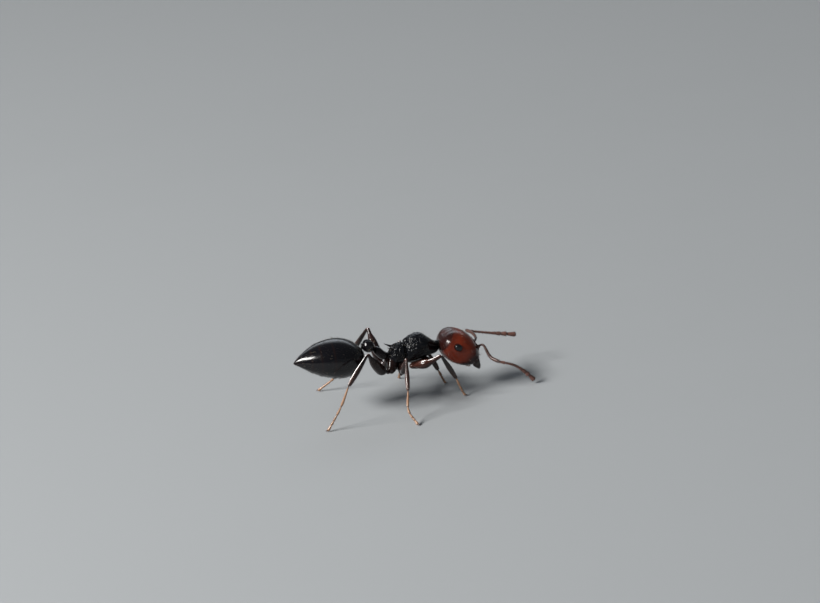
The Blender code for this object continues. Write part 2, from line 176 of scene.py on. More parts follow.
# Legs: coxae as (root, tip) of the right side, and each leg as (knee, heel, foot's x and y, tarsus bend).
COXAE = {
    "front": ((-0.165, -0.52, -0.30), (-0.31, 0.0, -0.275)),
    "middle": ((-0.15, 0.165, -0.285), (-0.235, 0.22, -0.455)),
    "hind": ((-0.165, 0.375, -0.22), (-0.28, 0.50, -0.34)),
}
POSES = {
    "right": {
        "front": ((-0.80, -0.70, -0.01), (-0.62, -1.02, -0.69), (-0.70, -1.16), (0.0, 0.0, -0.04)),
        "middle": ((-1.02, 0.19, 0.13), (-1.50, 0.345, -0.47), (-2.17, 0.35), (-0.02, 0.12, -0.05)),
        "hind": ((-0.90, 1.07, 0.41), (-1.35, 1.71, -0.12), (-1.30, 2.34), (0.0, -0.05, 0.0)),
    },
    "left": {
        "front": ((0.78, -0.71, -0.39), (0.66, -0.87, -0.82), (0.52, -0.97), (0.0, 0.0, -0.02)),
        "middle": ((0.93, -0.09, 0.00), (1.30, -0.10, -0.60), (1.62, -0.08), (0.0, 0.0, -0.06)),
        "hind": ((1.10, 0.61, 0.43), (1.42, 1.16, -0.36), (1.88, 1.87), (0.0, -0.05, -0.06)),
    },
}
COXA_RADIUS = {"front": 0.104, "middle": 0.11, "hind": 0.13}
FEMUR_RADIUS = {"front": 0.112, "middle": 0.095, "hind": 0.125}
FEMUR_FULLNESS = {"front": (0.84, 1.0, 0.60), "middle": (0.86, 1.0, 0.82), "hind": (0.98, 1.0, 0.86)}
COXA_SETBACK = {"front": 0.10, "middle": -0.02, "hind": -0.03}
COXA_TIP = {"front": 0.66, "middle": 0.42, "hind": 0.66}
TIBIA_RADIUS = {"front": 0.062, "middle": 0.060, "hind": 0.066}
FEMUR_WARMTH = {"front": 0.48, "middle": 0.20, "hind": 0.10}
SHIN_DEPTH = {"front": 0.80, "middle": 0.55, "hind": 0.70}
FEMUR_BOW = {"front": (0.085, 0.04), "middle": (0.0, 0.05), "hind": (0.0, 0.13)}
TARSOMERES = (0.44, 0.19, 0.13, 0.09, 0.15)
TARSOMERE_SIZES = (0.92, 0.84, 0.80, 0.84, 1.0)
TARSOMERE_TAPERS = (0.62, 0.66, 0.66, 0.66, 0.62)

# Antennae.
SCAPES = {
    "right": ((-0.30, -1.845, -0.12), (-0.50, -1.935, -0.375), (-0.72, -2.08, -0.465)),
    "left": ((0.40, -1.83, -0.13), (0.68, -1.82, -0.075), (0.93, -1.74, -0.065)),
}
FUNICULI = {
    "right": ((-0.77, -2.33, -0.56), (-0.77, -2.48, -0.65), (-0.78, -2.68, -0.84), (-0.79, -2.86, -1.065)),
    "left": ((0.95, -1.93, -0.14), (0.93, -2.43, -0.28), (0.90, -2.92, -0.40)),
}
FUNICULUS_SEGMENTS = (0.26, 0.11, 0.11, 0.12, 0.12, 0.13, 0.15)
CLUB_SEGMENTS = (0.27, 0.28, 0.45)
CLUB_SHARE = 0.42


# ---------------------------------------------------------------- sizes and colours that a user may change


def length_value(name, description, default):
    return FloatProperty(name=name, description=description, default=default, precision=6, unit="LENGTH")


def colour_value(name, description, default):
    return FloatVectorProperty(
        name=name, description=description, default=default, size=3, subtype="COLOR", min=0.0, max=1.0
    )


class AntSizes(bpy.types.PropertyGroup):
    """Sizes of the fine forms, in metres."""

    facet: length_value("Eye facet", "Distance between the middles of two eye facets", 0.000016)
    ruga: length_value("Trunk wrinkle", "Distance between two wrinkles of the trunk", 0.000080)
    relief: length_value("Trunk relief", "Height of the wrinkles of the trunk", 0.0000075)
    lip: length_value("Plate edge", "Thickness of a gaster plate where it overlaps the next", 0.000012)
    scape: length_value("Scape radius", "Radius of the antenna's first segment", 0.000036)
    funiculus: length_value("Funiculus radius", "Radius of the antenna's thin segments", 0.000033)
    club: length_value("Club radius", "Radius of the antenna's last three segments", 0.000056)
    tarsus: length_value("Tarsus radius", "Radius of the foot's segments", 0.000034)
    claw: length_value("Claw length", "Length of each claw", 0.000070)
    hair: length_value("Hair length", "Length of the standing hairs of the gaster", 0.000085)
    hair_radius: length_value("Hair radius", "Radius of a standing hair at its root", 0.0000022)
    gaster_hairs: IntProperty(name="Gaster hairs", description="Hairs on the gaster", default=900, min=0)
    limb_hairs: IntProperty(name="Limb hairs", description="Hairs on each leg segment", default=90, min=0)


class AntColours(bpy.types.PropertyGroup):
    """Colours of the shell, the eyes, the limbs and the stage."""

    head: colour_value("Head", "Clear red of the head's sides", (0.310, 0.041, 0.014))
    # This deep red also paints shade on the rear and underside of the head.
    head_deep: colour_value("Head, deep", "Dark red of the crown and the mouth", (0.022, 0.006, 0.005))
    jaw: colour_value("Jaws", "Brown of the jaws", (0.034, 0.016, 0.012))
    eye: colour_value("Eyes", "Black of the eyes", (0.0035, 0.0035, 0.0045))
    body: colour_value("Body", "Black of the trunk, waist and gaster", (0.0022, 0.0026, 0.0045))
    body_warm: colour_value("Body, warm", "Brown that shows through at thin edges", (0.022, 0.008, 0.005))
    leg: colour_value("Legs", "Near black of the thighs", (0.0075, 0.0040, 0.0038))
    leg_pale: colour_value("Legs, warm", "Red-brown of the joints and the front legs", (0.060, 0.019, 0.013))
    shin: colour_value("Shins", "Pinkish brown of the shins", (0.105, 0.056, 0.044))
    tarsus: colour_value("Feet", "Pale straw of the feet", (0.420, 0.240, 0.145))
    antenna: colour_value("Antennae", "Brown of the antennae", (0.190, 0.085, 0.066))
    antenna_deep: colour_value("Antennae, deep", "Dark brown of the joints", (0.040, 0.020, 0.016))
    hair: colour_value("Hairs", "Pale gold of the standing hairs", (0.30, 0.24, 0.17))
    down: colour_value("Down", "Grey-brown of the short hairs that lie flat", (0.070, 0.058, 0.047))
    floor: colour_value("Floor", "Pale grey of the floor", (0.385, 0.402, 0.415))
    sky: colour_value("Surroundings", "Cool white that fills the room", (0.86, 0.93, 1.0))


def sizes():
    return bpy.context.scene.ant_sizes


def colours():
    return bpy.context.scene.ant_colours


# ---------------------------------------------------------------- shapes as arrays of points


def in_place(points):
    """Metres in the frame from millimetres in the trunk's own frame."""
    return np.asarray(points) * MM + TRUNK_MIDDLE


def unit(vectors):
    """Each vector divided by its length."""
    vectors = np.asarray(vectors, float)
    return vectors / np.maximum(np.linalg.norm(vectors, axis=-1, keepdims=True), 1e-12)


def smooth_step(x, start, end):
    """0 before start, 1 after end, and 3s^2 - 2s^3 of the share s between them."""
    s = np.clip((x - start) / (end - start), 0, 1)
    return s * s * (3 - 2 * s)


def hill(x, middle, width):
    """A bell: e to the power of minus the squared distance from the middle in widths."""
    return np.exp(-(((x - middle) / width) ** 2))


def swell(t, rise, fall):
    """0 at both ends and 1 at its widest: t to a power, times 1 - t to another."""
    widest = rise / (rise + fall)
    return t**rise * (1 - t) ** fall / (widest**rise * (1 - widest) ** fall)


def eased(count, first=0.0, last=1.0):
    """Shares that lie closer together at both ends, spaced as a cosine."""
    return first + (last - first) * 0.5 * (1 - np.cos(np.pi * np.linspace(0, 1, count)))


def through(points, count):
    """A Catmull-Rom curve through the points, as count rows spread evenly over its spans."""
    points = np.asarray(points, float)
    ends = np.vstack([2 * points[0] - points[1], points, 2 * points[-1] - points[-2]])
    place = np.linspace(0, len(points) - 1, count)
    span = np.minimum(place.astype(int), len(points) - 2)
    u = (place - span)[:, None]
    a, b, c, d = ends[span], ends[span + 1], ends[span + 2], ends[span + 3]
    return 0.5 * (2 * b + (c - a) * u + (2 * a - 5 * b + 4 * c - d) * u**2 + (3 * b - a - 3 * c + d) * u**3)


def along(path, shares):
    """Points and unit directions at shares of a path's length."""
    steps = np.linalg.norm(np.diff(path, axis=0), axis=1)
    length = np.concatenate([[0], np.cumsum(steps)])
    wanted = np.asarray(shares) * length[-1]
    points = np.stack([np.interp(wanted, length, path[:, k]) for k in range(3)], axis=1)
    slopes = np.gradient(path, length, axis=0)
    return points, unit(np.stack([np.interp(wanted, length, slopes[:, k]) for k in range(3)], axis=1))


def profile(shares, *knots):
    """A smooth curve of radius over share through (share, radius) knots."""
    curve = through(knots, 24 * len(knots))
    return np.interp(shares, np.maximum.accumulate(curve[:, 0]), curve[:, 1])


def rounded(shares, front, rear):
    """1 along the middle, falling to 0 as a quarter circle over the front and rear shares."""
    s = np.clip(shares / max(front, 1e-9), 0, 1)
    e = np.clip((1 - shares) / max(rear, 1e-9), 0, 1)
    return np.sqrt(1 - (1 - s) ** 2) * np.sqrt(1 - (1 - e) ** 2)


def oval_rings(middles, side, up, half_width, top, bottom, around, power=2.0):
    """Rings of a superellipse whose upper and lower halves have their own heights, each given per ring."""
    angle = np.linspace(0, 2 * np.pi, around, endpoint=False)
    cosine, sine = np.cos(angle), np.sin(angle)
    across = np.sign(cosine) * np.abs(cosine) ** (2 / power) * np.reshape(half_width, (-1, 1))
    lift = np.sign(sine) * np.abs(sine) ** (2 / power)
    lift = np.where(lift > 0, lift * np.reshape(top, (-1, 1)), lift * np.reshape(bottom, (-1, 1)))
    side, up = (np.broadcast_to(way, middles.shape)[:, None] for way in (side, up))
    return middles[:, None] + across[..., None] * side + lift[..., None] * up


def tube(points, directions, radii, around, flat=1.0):
    """Round rings across a path; flat under 1 narrows them across the up direction."""
    reference = np.eye(3)[np.argmin(np.abs(points[-1] - points[0]))]
    sides = unit(np.cross(reference, directions))
    return oval_rings(points, sides, np.cross(directions, sides), radii, radii * flat, radii * flat, around)


def stretch(path, count, first=0.0, last=1.0):
    """Eased shares, and the points and directions that they have on a part of a path."""
    shares = eased(count)
    return shares, *along(path, first + (last - first) * shares)


def limb(path, knots, ends, count, around, scale=1.0, flat=1.0, first=0.0):
    """Shares and round rings of a limb: its radius is a curve through knots, rounded off over both ends."""
    shares, points, directions = stretch(path, count, first)
    radii = scale * profile(shares, *knots) * rounded(shares, *ends)
    return shares, tube(points, directions, radii, around, flat)


def bead(points, directions, radius, around, flat=1.0, power=1.0):
    """Rings of a round body: its radius follows a half circle over the rows of points."""
    radii = radius * rounded(eased(len(points)), 0.5, 0.5) ** power + THINNEST
    return tube(points, directions, radii, around, flat)


def normals_of(grid):
    """Outward normals of rings: the cross product of the steps along and around."""
    rows = np.gradient(grid, axis=0)
    turns = np.roll(grid, -1, axis=1) - np.roll(grid, 1, axis=1)
    found = unit(np.cross(rows, turns))
    outwards = grid - grid.mean(axis=1, keepdims=True)
    return found * (1 if (found * outwards).sum() > 0 else -1)


def raised(grid, height):
    """The rings moved along their normals by a height at each point."""
    return grid + normals_of(grid) * np.asarray(height)[..., None]


def hashed(corner, seed):
    """A repeatable number from 0 to 1 for each whole-number corner of space."""
    factors = (374761393, 668265263, 2147483647)
    mixed = sum(corner[..., k] * factor for k, factor in enumerate(factors)) + seed * 974634777
    mixed = (mixed ^ (mixed >> 13)) * 1274126177 & 0xFFFFFFFF
    return ((mixed ^ (mixed >> 16)) & 0xFFFF) / 0xFFFF


def noise(points, size, seed=0):
    """Smooth value noise from -1 to 1: random values at the corners of cubes, blended by smooth steps."""
    scaled = np.asarray(points) / size + 1000.5
    corner = np.floor(scaled).astype(np.int64)
    part = scaled - corner
    part = part * part * (3 - 2 * part)
    total = np.zeros(part.shape[:-1])
    for offset in np.ndindex(2, 2, 2):
        weight = np.prod(np.where(np.array(offset) == 1, part, 1 - part), axis=-1)
        total += weight * hashed(corner + np.array(offset), seed)
    return 2 * total - 1


def layered(points, size, seed=0, layers=3):
    """Noise with finer, weaker layers on top, each half the size and half the height."""
    return sum(noise(points, size / 2**k, seed + k) / 2**k for k in range(layers))


def off_line(points, line):
    """Distance of each point from the nearest segment of a line of points."""
    line = np.asarray(line, float)
    nearest = np.full(points.shape[:-1], np.inf)
    for start, end in zip(line[:-1], line[1:]):
        step = end - start
        share = np.clip(((points - start) @ step) / (step @ step), 0, 1)
        nearest = np.minimum(nearest, np.linalg.norm(points - start - share[..., None] * step, axis=-1))
    return nearest


# ---------------------------------------------------------------- meshes


def ring_faces(rows, around):
    """Corner numbers of the quads between rings, and of the fans that close both ends."""
    row, turn = np.meshgrid(np.arange(rows - 1), np.arange(around), indexing="ij")
    following = (turn + 1) % around
    quads = np.stack([row * around + turn, row * around + following], axis=-1)
    quads = np.concatenate([quads, quads[..., ::-1] + around], axis=-1).reshape(-1, 4)
    turn = np.arange(around)
    following = (turn + 1) % around
    first, last = np.full(around, rows * around), np.full(around, rows * around + 1)
    base = (rows - 1) * around
    front = np.stack([first, following, turn], axis=-1)
    rear = np.stack([last, base + turn, base + following], axis=-1)
    return quads, np.concatenate([front, rear])


def mesh_object(name, points, quads, triangles, material, deep=None):
    """An object at the origin from arrays of points in metres and of faces, with deepness at each point."""
    mesh = bpy.data.meshes.new(name)
    corners = np.concatenate([quads.ravel(), triangles.ravel()])
    totals = np.concatenate([np.full(len(quads), 4), np.full(len(triangles), 3)])
    mesh.vertices.add(len(points))
    mesh.vertices.foreach_set("co", np.ascontiguousarray(points, np.float32).ravel())
    mesh.loops.add(len(corners))
    mesh.loops.foreach_set("vertex_index", corners.astype(np.int32))
    mesh.polygons.add(len(totals))
    mesh.polygons.foreach_set("loop_start", (np.cumsum(totals) - totals).astype(np.int32))
    mesh.update(calc_edges=True)
    mesh.validate()
    mesh.shade_smooth()
    if deep is not None:
        attribute = mesh.attributes.new("deep", "FLOAT", "POINT")
        attribute.data.foreach_set("value", np.ascontiguousarray(deep, np.float32))
    mesh.materials.append(shell_material(material))
    made = bpy.data.objects.new(name, mesh)
    bpy.context.scene.collection.objects.link(made)
    return made


def outward(points, quads, triangles):
    """The faces turned round where the closed shape's signed volume is negative."""
    split = np.concatenate([quads[:, [0, 1, 2]], quads[:, [0, 2, 3]], triangles])
    corners = points[split] - points.mean(axis=0)
    volume = np.einsum("ij,ij->i", corners[:, 0], np.cross(corners[:, 1], corners[:, 2])).sum()
    return (quads[:, ::-1], triangles[:, ::-1]) if volume < 0 else (quads, triangles)


def shell(name, bodies, material, nodes=()):
    """One piece from closed bodies of rings in millimetres, each as (rings, deepness of its colour).

    Deepness is one value, or one for each ring or each point, and is held between 0 and 1.
    """
    points, quads, triangles, masks, start = [], [], [], [], 0
    for rings, deep in bodies:
        rows, around = rings.shape[:2]
        body = np.concatenate([rings.reshape(-1, 3), [rings[0].mean(axis=0), rings[-1].mean(axis=0)]])
        fours, threes = outward(body, *ring_faces(rows, around))
        points.append(body)
        quads.append(fours + start)
        triangles.append(threes + start)
        start += len(body)
        deep = np.clip(deep, 0, 1)
        deep = np.broadcast_to(deep[:, None] if deep.ndim == 1 else deep, (rows, around))
        masks.append(np.concatenate([deep.ravel(), [deep[0].mean(), deep[-1].mean()]]))
    points, quads, triangles, masks = (np.concatenate(part) for part in (points, quads, triangles, masks))
    piece = mesh_object(name, in_place(points), quads, triangles, material, masks)
    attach(piece, "root")
    if nodes:
        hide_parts(*nodes)


# ---------------------------------------------------------------- hairs


def scattered(grid, count, seed):
    """Places spread over rings by area: points, normals, rearward directions and (turn, row) shares."""
    chance = np.random.default_rng(seed)
    rows, around = grid.shape[:2]
    steps = np.diff(grid, axis=0)
    turns = (np.roll(grid, -1, axis=1) - grid)[:-1]
    area = np.linalg.norm(np.cross(steps, turns), axis=-1)
    chosen = chance.choice(area.size, count, p=area.ravel() / area.sum())
    row, turn = np.unravel_index(chosen, area.shape)
    shift_row, shift_turn = chance.random((2, count))
    point = grid[row, turn] + steps[row, turn] * shift_row[:, None]
    point = point + turns[row, turn] * shift_turn[:, None]
    shares = np.stack([(turn + shift_turn) / around, (row + shift_row) / rows], axis=1)
    return point, normals_of(grid)[row, turn], unit(steps[row, turn]), shares


def hairs(name, patches, material):
    """Hairs as closed, four-sided tapering spikes that curve over towards the rear.

    Ring s of a hair lies at root + length (s (lean) + curl s^2 (rear)), where lean mixes the normal and the
    rearward direction. Each patch is (places, length, radius, stand, curl, seed), its length and radius as
    shares of those of a standing hair.
    """
    levels = np.array((0.0, 0.35, 0.70, 1.0))
    thickness = np.array((1.0, 0.85, 0.55, 0.10))
    spread, mixing, island = (0.7, 1.2), 0.22, 0.0015
    all_points, all_maps = [], []
    for (roots, normals, rear, shares), length, radius, stand, curl, seed in patches:
        length, radius = length * (sizes().hair / MM), radius * (sizes().hair_radius / MM)
        chance = np.random.default_rng(seed)
        count = len(roots)
        lengths = length * chance.uniform(*spread, count)[:, None, None]
        lean = unit(stand * normals + (1 - stand) * rear + mixing * chance.normal(size=(count, 3)))
        level = levels[None, :, None]
        path = roots[:, None] + lengths * (level * lean[:, None] + curl * level**2 * rear[:, None])
        path = path - 0.5 * radius * normals[:, None]
        side = unit(np.cross(lean, rear + 0.01))
        up = np.cross(lean, side)
        corners = np.stack([side, up, -side, -up], axis=1)
        rings = path[:, :, None] + radius * thickness[None, :, None, None] * corners[:, None]
        all_points.append(rings.reshape(-1, 3))
        # Each hair has its own small square on the map, at the shares of its root.
        square = np.array(((1, 0), (0, 1), (-1, 0), (0, -1))) * island
        shrink = np.array((1.0, 0.8, 0.6, 0.4))[:, None, None]
        all_maps.append((shares[:, None, None] * 0.99 + 0.005 + shrink * square).reshape(-1, 2))
    points, maps = np.concatenate(all_points), np.concatenate(all_maps)
    turn = np.arange(4)
    after = (turn + 1) % 4
    one = [np.stack([k + turn, k + after, k + 4 + after, k + 4 + turn], axis=1) for k in (0, 4, 8)]
    one = np.concatenate([*one, [[3, 2, 1, 0]], [[12, 13, 14, 15]]])
    none = np.empty((0, 3), int)
    one, _ = outward(points[:16], one, none)
    quads = (one[None] + 16 * np.arange(len(points) // 16)[:, None, None]).reshape(-1, 4)
    piece = mesh_object(name, in_place(points), quads, none, material)
    layer = piece.data.uv_layers.new(name="OFBake")
    layer.data.foreach_set("uv", maps[quads.ravel()].astype(np.float32).ravel())
    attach(piece, "root")


# ---------------------------------------------------------------- materials


TONE_INPUTS = ("Vector", "Mask", "Clear", "Deep", "Patches", "Spread", "Roughness", "Waver")
RELIEF_INPUTS = ("Vector", "Cells", "Net", "Pits", "Uneven")
COAT_ROUGHNESS = 0.08
SOCKET_KINDS = {"Vector": "NodeSocketVector"} | dict.fromkeys(("Clear", "Deep", "Color"), "NodeSocketColor")

# Each look: clear colour, deep colour or its share of the clear one, roughness, coat, cell size and relief
# height in metres, index of refraction; then patches per metre, their spread, waver of roughness, net, pits
# and unevenness.
LOOKS = {
    "Red shell": ("head", "head_deep", 0.2, 0.06, 12e-6, 4e-7, 1.32, 5e3, 0.35, 0.08, 0.5, 0.35, 0.8),
    "Eye": ("eye", 3.0, 0.26, 0.2, 10e-6, 3e-7, 1.44, 9e3, 0.4, 0.10, 0.5, 0.0, 0.5),
    "Jaw shell": ("jaw", 0.25, 0.28, 0.4, 10e-6, 12e-7, 1.44, 9e3, 0.3, 0.10, 0.6, 0.0, 0.9),
    "Black shell": ("body", "body_warm", 0.16, 0.1, 10e-6, 3e-7, 1.44, 9e3, 0.15, 0.06, 0.3, 0.0, 0.5),
    "Wrinkled black shell": (
        "body", "body_warm", 0.20, 0.05, 12e-6, 3e-7, 1.38, 9e3, 0.15, 0.12, 0.5, 0.5, 0.8
    ),
    "Leg shell": ("leg_pale", "leg", 0.16, 0.1, 9e-6, 3e-7, 1.38, 9e3, 0.3, 0.12, 0.4, 0.0, 0.9),
    "Shin shell": ("shin", "leg", 0.25, 0.3, 8e-6, 4e-7, 1.44, 9e3, 0.30, 0.12, 0.4, 0.0, 0.9),
    "Foot shell": ("tarsus", "shin", 0.33, 0.2, 7e-6, 8e-7, 1.44, 9e3, 0.4, 0.15, 0.3, 0.0, 1.0),
    "Antenna shell": ("antenna", "antenna_deep", 0.36, 0.2, 7e-6, 12e-7, 1.44, 9e3, 0.4, 0.15, 0.4, 0.0, 1.0),
    "Pale hair": ("hair", 0.45, 0.35, 0.0, 4e-6, 2e-7, 1.44, 9e3, 0.8, 0.10, 0.5, 0.0, 0.5),
    "Brown down": ("down", 0.45, 0.35, 0.0, 4e-6, 2e-7, 1.44, 9e3, 0.8, 0.10, 0.5, 0.0, 0.5),
    "Pale floor": ("floor", 0.94, 0.75, 0.0, 2e-4, 2e-6, 1.44, 60.0, 0.5, 0.10, 0.0, 0.0, 0.5),
}


def feed(tree, node, inputs):
    """Give a node's inputs their values: a link from another node's socket, or else a plain value."""
    for key, value in inputs.items():
        if isinstance(value, bpy.types.NodeSocket):
            tree.links.new(value, node.inputs[key])
        else:
            node.inputs[key].default_value = value


def new_node(tree, kind, inputs=None, **settings):
    """A shader node of a kind, with its settings and its inputs."""
    node = tree.nodes.new(f"ShaderNode{kind}")
    for key, value in settings.items():
        setattr(node, key, value)
    feed(tree, node, inputs or {})
    return node


def node_group(name, inputs, outputs):
    """A new shader node group, the sockets that it is given and its result; or the group that is there."""
    known = bpy.data.node_groups.get(name)
    if known:
        return known, None, None
    group = bpy.data.node_groups.new(name, "ShaderNodeTree")
    for way, sockets in (("INPUT", inputs), ("OUTPUT", outputs)):
        for socket in sockets:
            kind = SOCKET_KINDS.get(socket, "NodeSocketFloat")
            group.interface.new_socket(name=socket, in_out=way, socket_type=kind)
    return group, group.nodes.new("NodeGroupInput").outputs, group.nodes.new("NodeGroupOutput")


def math_nodes(tree, *operations):
    """Functions that each add one math node of their kind and return its result."""

    def adder(operation):
        return lambda a, b: new_node(tree, "Math", {0: a, 1: b}, operation=operation).outputs[0]

    return [adder(operation) for operation in operations]


def noise_node(tree, vector, scale, detail):
    return new_node(tree, "TexNoise", {"Vector": vector, "Scale": scale, "Detail": detail}).outputs["Fac"]


def mottled_group():
    """Two colours in soft patches around a mask, and a roughness that wavers with them.

    The patches are a broad noise plus 0.45 of one five times finer, less their mean.
    """
    group, given, result = node_group("Mottled shell", TONE_INPUTS, ("Color", "Roughness"))
    if given is None:
        return group
    add, less, times = math_nodes(group, "ADD", "SUBTRACT", "MULTIPLY")
    broad = noise_node(group, given["Vector"], given["Patches"], 4.0)
    fine = noise_node(group, given["Vector"], times(given["Patches"], 5.0), 3.0)
    both = add(broad, times(fine, 0.45))
    mask = add(given["Mask"], times(less(both, 0.725), given["Spread"]))
    colours_of = {"Factor": mask, "A": given["Clear"], "B": given["Deep"]}
    mix = new_node(group, "Mix", colours_of, data_type="RGBA", clamp_factor=True)
    waver = times(less(fine, 0.5), given["Waver"])
    feed(group, result, {"Color": mix.outputs["Result"], "Roughness": add(given["Roughness"], waver)})
    return group


def relief_group():
    """Height of a fine net of cells, of small pits and of a soft unevenness."""
    group, given, result = node_group("Shell relief", RELIEF_INPUTS, ("Height",))
    if given is None:
        return group
    add, times, lower = math_nodes(group, "ADD", "MULTIPLY", "MINIMUM")
    vector, cells = given["Vector"], given["Cells"]
    net_inputs = {"Vector": vector, "Scale": times(cells, 1.0)}
    net = new_node(group, "TexVoronoi", net_inputs, feature="DISTANCE_TO_EDGE")
    pits = new_node(group, "TexVoronoi", {"Vector": vector, "Scale": times(cells, 0.30)})
    edge = lower(times(net.outputs["Distance"], 4.0), 1.0)
    pit = lower(times(pits.outputs["Distance"], 5.0), 1.0)
    soft = noise_node(group, vector, times(cells, 0.35), 4.0)
    height = times(edge, given["Net"])
    height = add(height, times(pit, given["Pits"]))
    height = add(height, times(soft, given["Uneven"]))
    feed(group, result, {"Height": height})
    return group


def shell_material(name):
    """The look of that name: mottled colour, wavering roughness and fine relief on Object coordinates."""
    if name in bpy.data.materials:
        return bpy.data.materials[name]
    clear, deep, roughness, coat, cell, relief, gloss, patches, spread, waver, *heights = LOOKS[name]
    clear = getattr(colours(), clear)
    deep = getattr(colours(), deep) if isinstance(deep, str) else [deep * part for part in clear]
    material = bpy.data.materials.new(name)
    material.use_nodes = True
    material.diffuse_color = (*clear, 1.0)
    tree = material.node_tree
    place = new_node(tree, "TexCoord").outputs["Object"]
    mask = new_node(tree, "Attribute", attribute_name="deep").outputs["Fac"]
    values = (place, mask, (*clear, 1.0), (*deep, 1.0), patches, spread, roughness, waver)
    tone = new_node(tree, "Group", dict(zip(TONE_INPUTS, values)), node_tree=mottled_group()).outputs
    values = dict(zip(RELIEF_INPUTS, (place, 1.0 / cell, *heights)))
    height = new_node(tree, "Group", values, node_tree=relief_group()).outputs["Height"]
    bump = new_node(tree, "Bump", {"Strength": 1.0, "Distance": relief, "Height": height}).outputs["Normal"]
    looks = {"Base Color": tone["Color"], "Roughness": tone["Roughness"], "Normal": bump}
    looks |= {"Coat Weight": coat, "Coat Roughness": COAT_ROUGHNESS, "IOR": gloss}
    feed(tree, tree.nodes["Principled BSDF"], looks)
    return material


# ---------------------------------------------------------------- head


HEAD_TURN = math.radians(HEAD_PITCH)
HEAD_FORWARD = np.array((0.0, -math.cos(HEAD_TURN), -math.sin(HEAD_TURN)))
HEAD_UP = np.array((0.0, -math.sin(HEAD_TURN), math.cos(HEAD_TURN)))


def head_sizes(t):
    """Half width, crown height and throat depth at share t."""
    return (
        HEAD_HALF_WIDTH * swell(t, 0.28, 0.39),
        HEAD_CROWN * swell(t, 0.50, 0.68),
        HEAD_THROAT * swell(t, 0.42, 0.56),
    )


def head_point(across, t, rise):
    """A place in the head's frame: across to the left, share t forwards and rise towards the crown."""
    across, t, rise = (np.asarray(value, float)[..., None] for value in (across, t, rise))
    return HEAD_CENTRE + across * ACROSS + HEAD_LENGTH * (t - 0.5) * HEAD_FORWARD + rise * HEAD_UP


def on_crown(across, t):
    """A place on the head's upper surface: the superellipse's height at that distance across."""
    half_width, top, _ = head_sizes(np.asarray(t, float))
    return head_point(across, t, top * (1 - np.abs(across / half_width) ** HEAD_POWER) ** (1 / HEAD_POWER))


def socket_place(sign):
    """The middle of an antenna's socket."""
    return on_crown(sign * SOCKET_SPACING * head_sizes(SOCKET_PLACE)[0], SOCKET_PLACE)


def head_rings():
    """Superellipse rings of the skull, raised and sunk by its sockets, ridges, seams and rims."""
    t = eased(300, 0.0015, 0.9965)
    middles = head_point(0.0, t, 0.0)
    grid = oval_rings(middles, ACROSS, HEAD_UP, *head_sizes(t), 300, HEAD_POWER)
    across, share = grid[..., 0], t[:, None]
    rise = (grid - middles[:, None]) @ HEAD_UP
    above = smooth_step(rise, -0.02, 0.05)
    height = 0.0018 * layered(grid, 0.30, 3) + 0.0003 * noise(grid, 0.05, 5)
    height += 0.022 * hill(across, 0, 0.17) * hill(share, 0.90, 0.06) * above
    height -= 0.010 * hill(across, 0, 0.17) * hill(share, 0.02, 0.05)
    bulge = smooth_step(rise, -0.05, 0.20) * smooth_step(np.abs(across), 0.02, 0.30)
    height += 0.022 * hill(share, 0.06, 0.16) * bulge
    height -= 0.008 * hill(across, 0, 0.014) * smooth_step(share, 0.22, 0.32) * (1 - above)
    for sign in SIDES.values():
        distance = np.linalg.norm(grid - socket_place(sign), axis=-1)
        height += -0.030 * hill(distance, 0, 0.050) + 0.014 * hill(distance, 0.075, 0.020)
        for line, rim, width in ((BROW_RIDGE, 0.016, 0.016), (LIP_SEAM, -0.007, 0.010)):
            crest = [on_crown(sign * a, b) for a, b in line]
            height += rim * hill(off_line(grid, crest), 0, width)
        offset = grid - head_point(sign * head_sizes(EYE_PLACE)[0], EYE_PLACE, EYE_RISE)
        radial = np.hypot((offset @ HEAD_FORWARD) / (EYE_LENGTH / 2), (offset @ HEAD_UP) / (EYE_HEIGHT / 2))
        side = smooth_step(sign * across, 0.2, 0.4)
        height += (0.006 * hill(radial, 1.22, 0.16) - 0.008 * hill(radial, 1.03, 0.07)) * side
    rough = smooth_step(share, 0.20, 0.0) + smooth_step(share, 0.80, 0.95)
    height += 0.0010 * rough * noise(grid, 0.022, 9)
    grid = raised(grid, height * smooth_step(np.minimum(share, 1 - share), 0.0, 0.012))
    # upper marks the top of the head behind the face. The red deepens towards the mouth, low on the face and
    # a little on the crown.
    upper = smooth_step(rise, 0.0, 0.20) * smooth_step(share, 0.14, 0.30)
    deep = 0.97 * smooth_step(share, 0.50, 0.84) + 0.08 * smooth_step(rise, 0.05, 0.35)
    # Painted shade: the rear of the head is darkened, less so on top. Below the crown the head is also a
    # little darker.
    deep += 0.58 * smooth_step(share, 0.66, 0.20) * (1 - 0.8 * upper) + 0.15 * (1 - upper)
    deep += 0.62 * smooth_step(share, 0.52, 0.74) * smooth_step(rise, -0.08, -0.30)
    # Painted shade: the rear pole and the underside of the head are darkened.
    deep += 0.75 * smooth_step(share, 0.16, 0.02) + 0.25 * smooth_step(rise, -0.26, -0.40)
    return grid, deep


class ANT_OT_head(bpy.types.Operator):
    """Make the head's shell, with its sockets, ridges and seams"""

    bl_idname = "ant.head"
    bl_label = "Head"

    def execute(self, context):
        shell("head_shell", [head_rings()], "Red shell", ["head"])
        return {"FINISHED"}


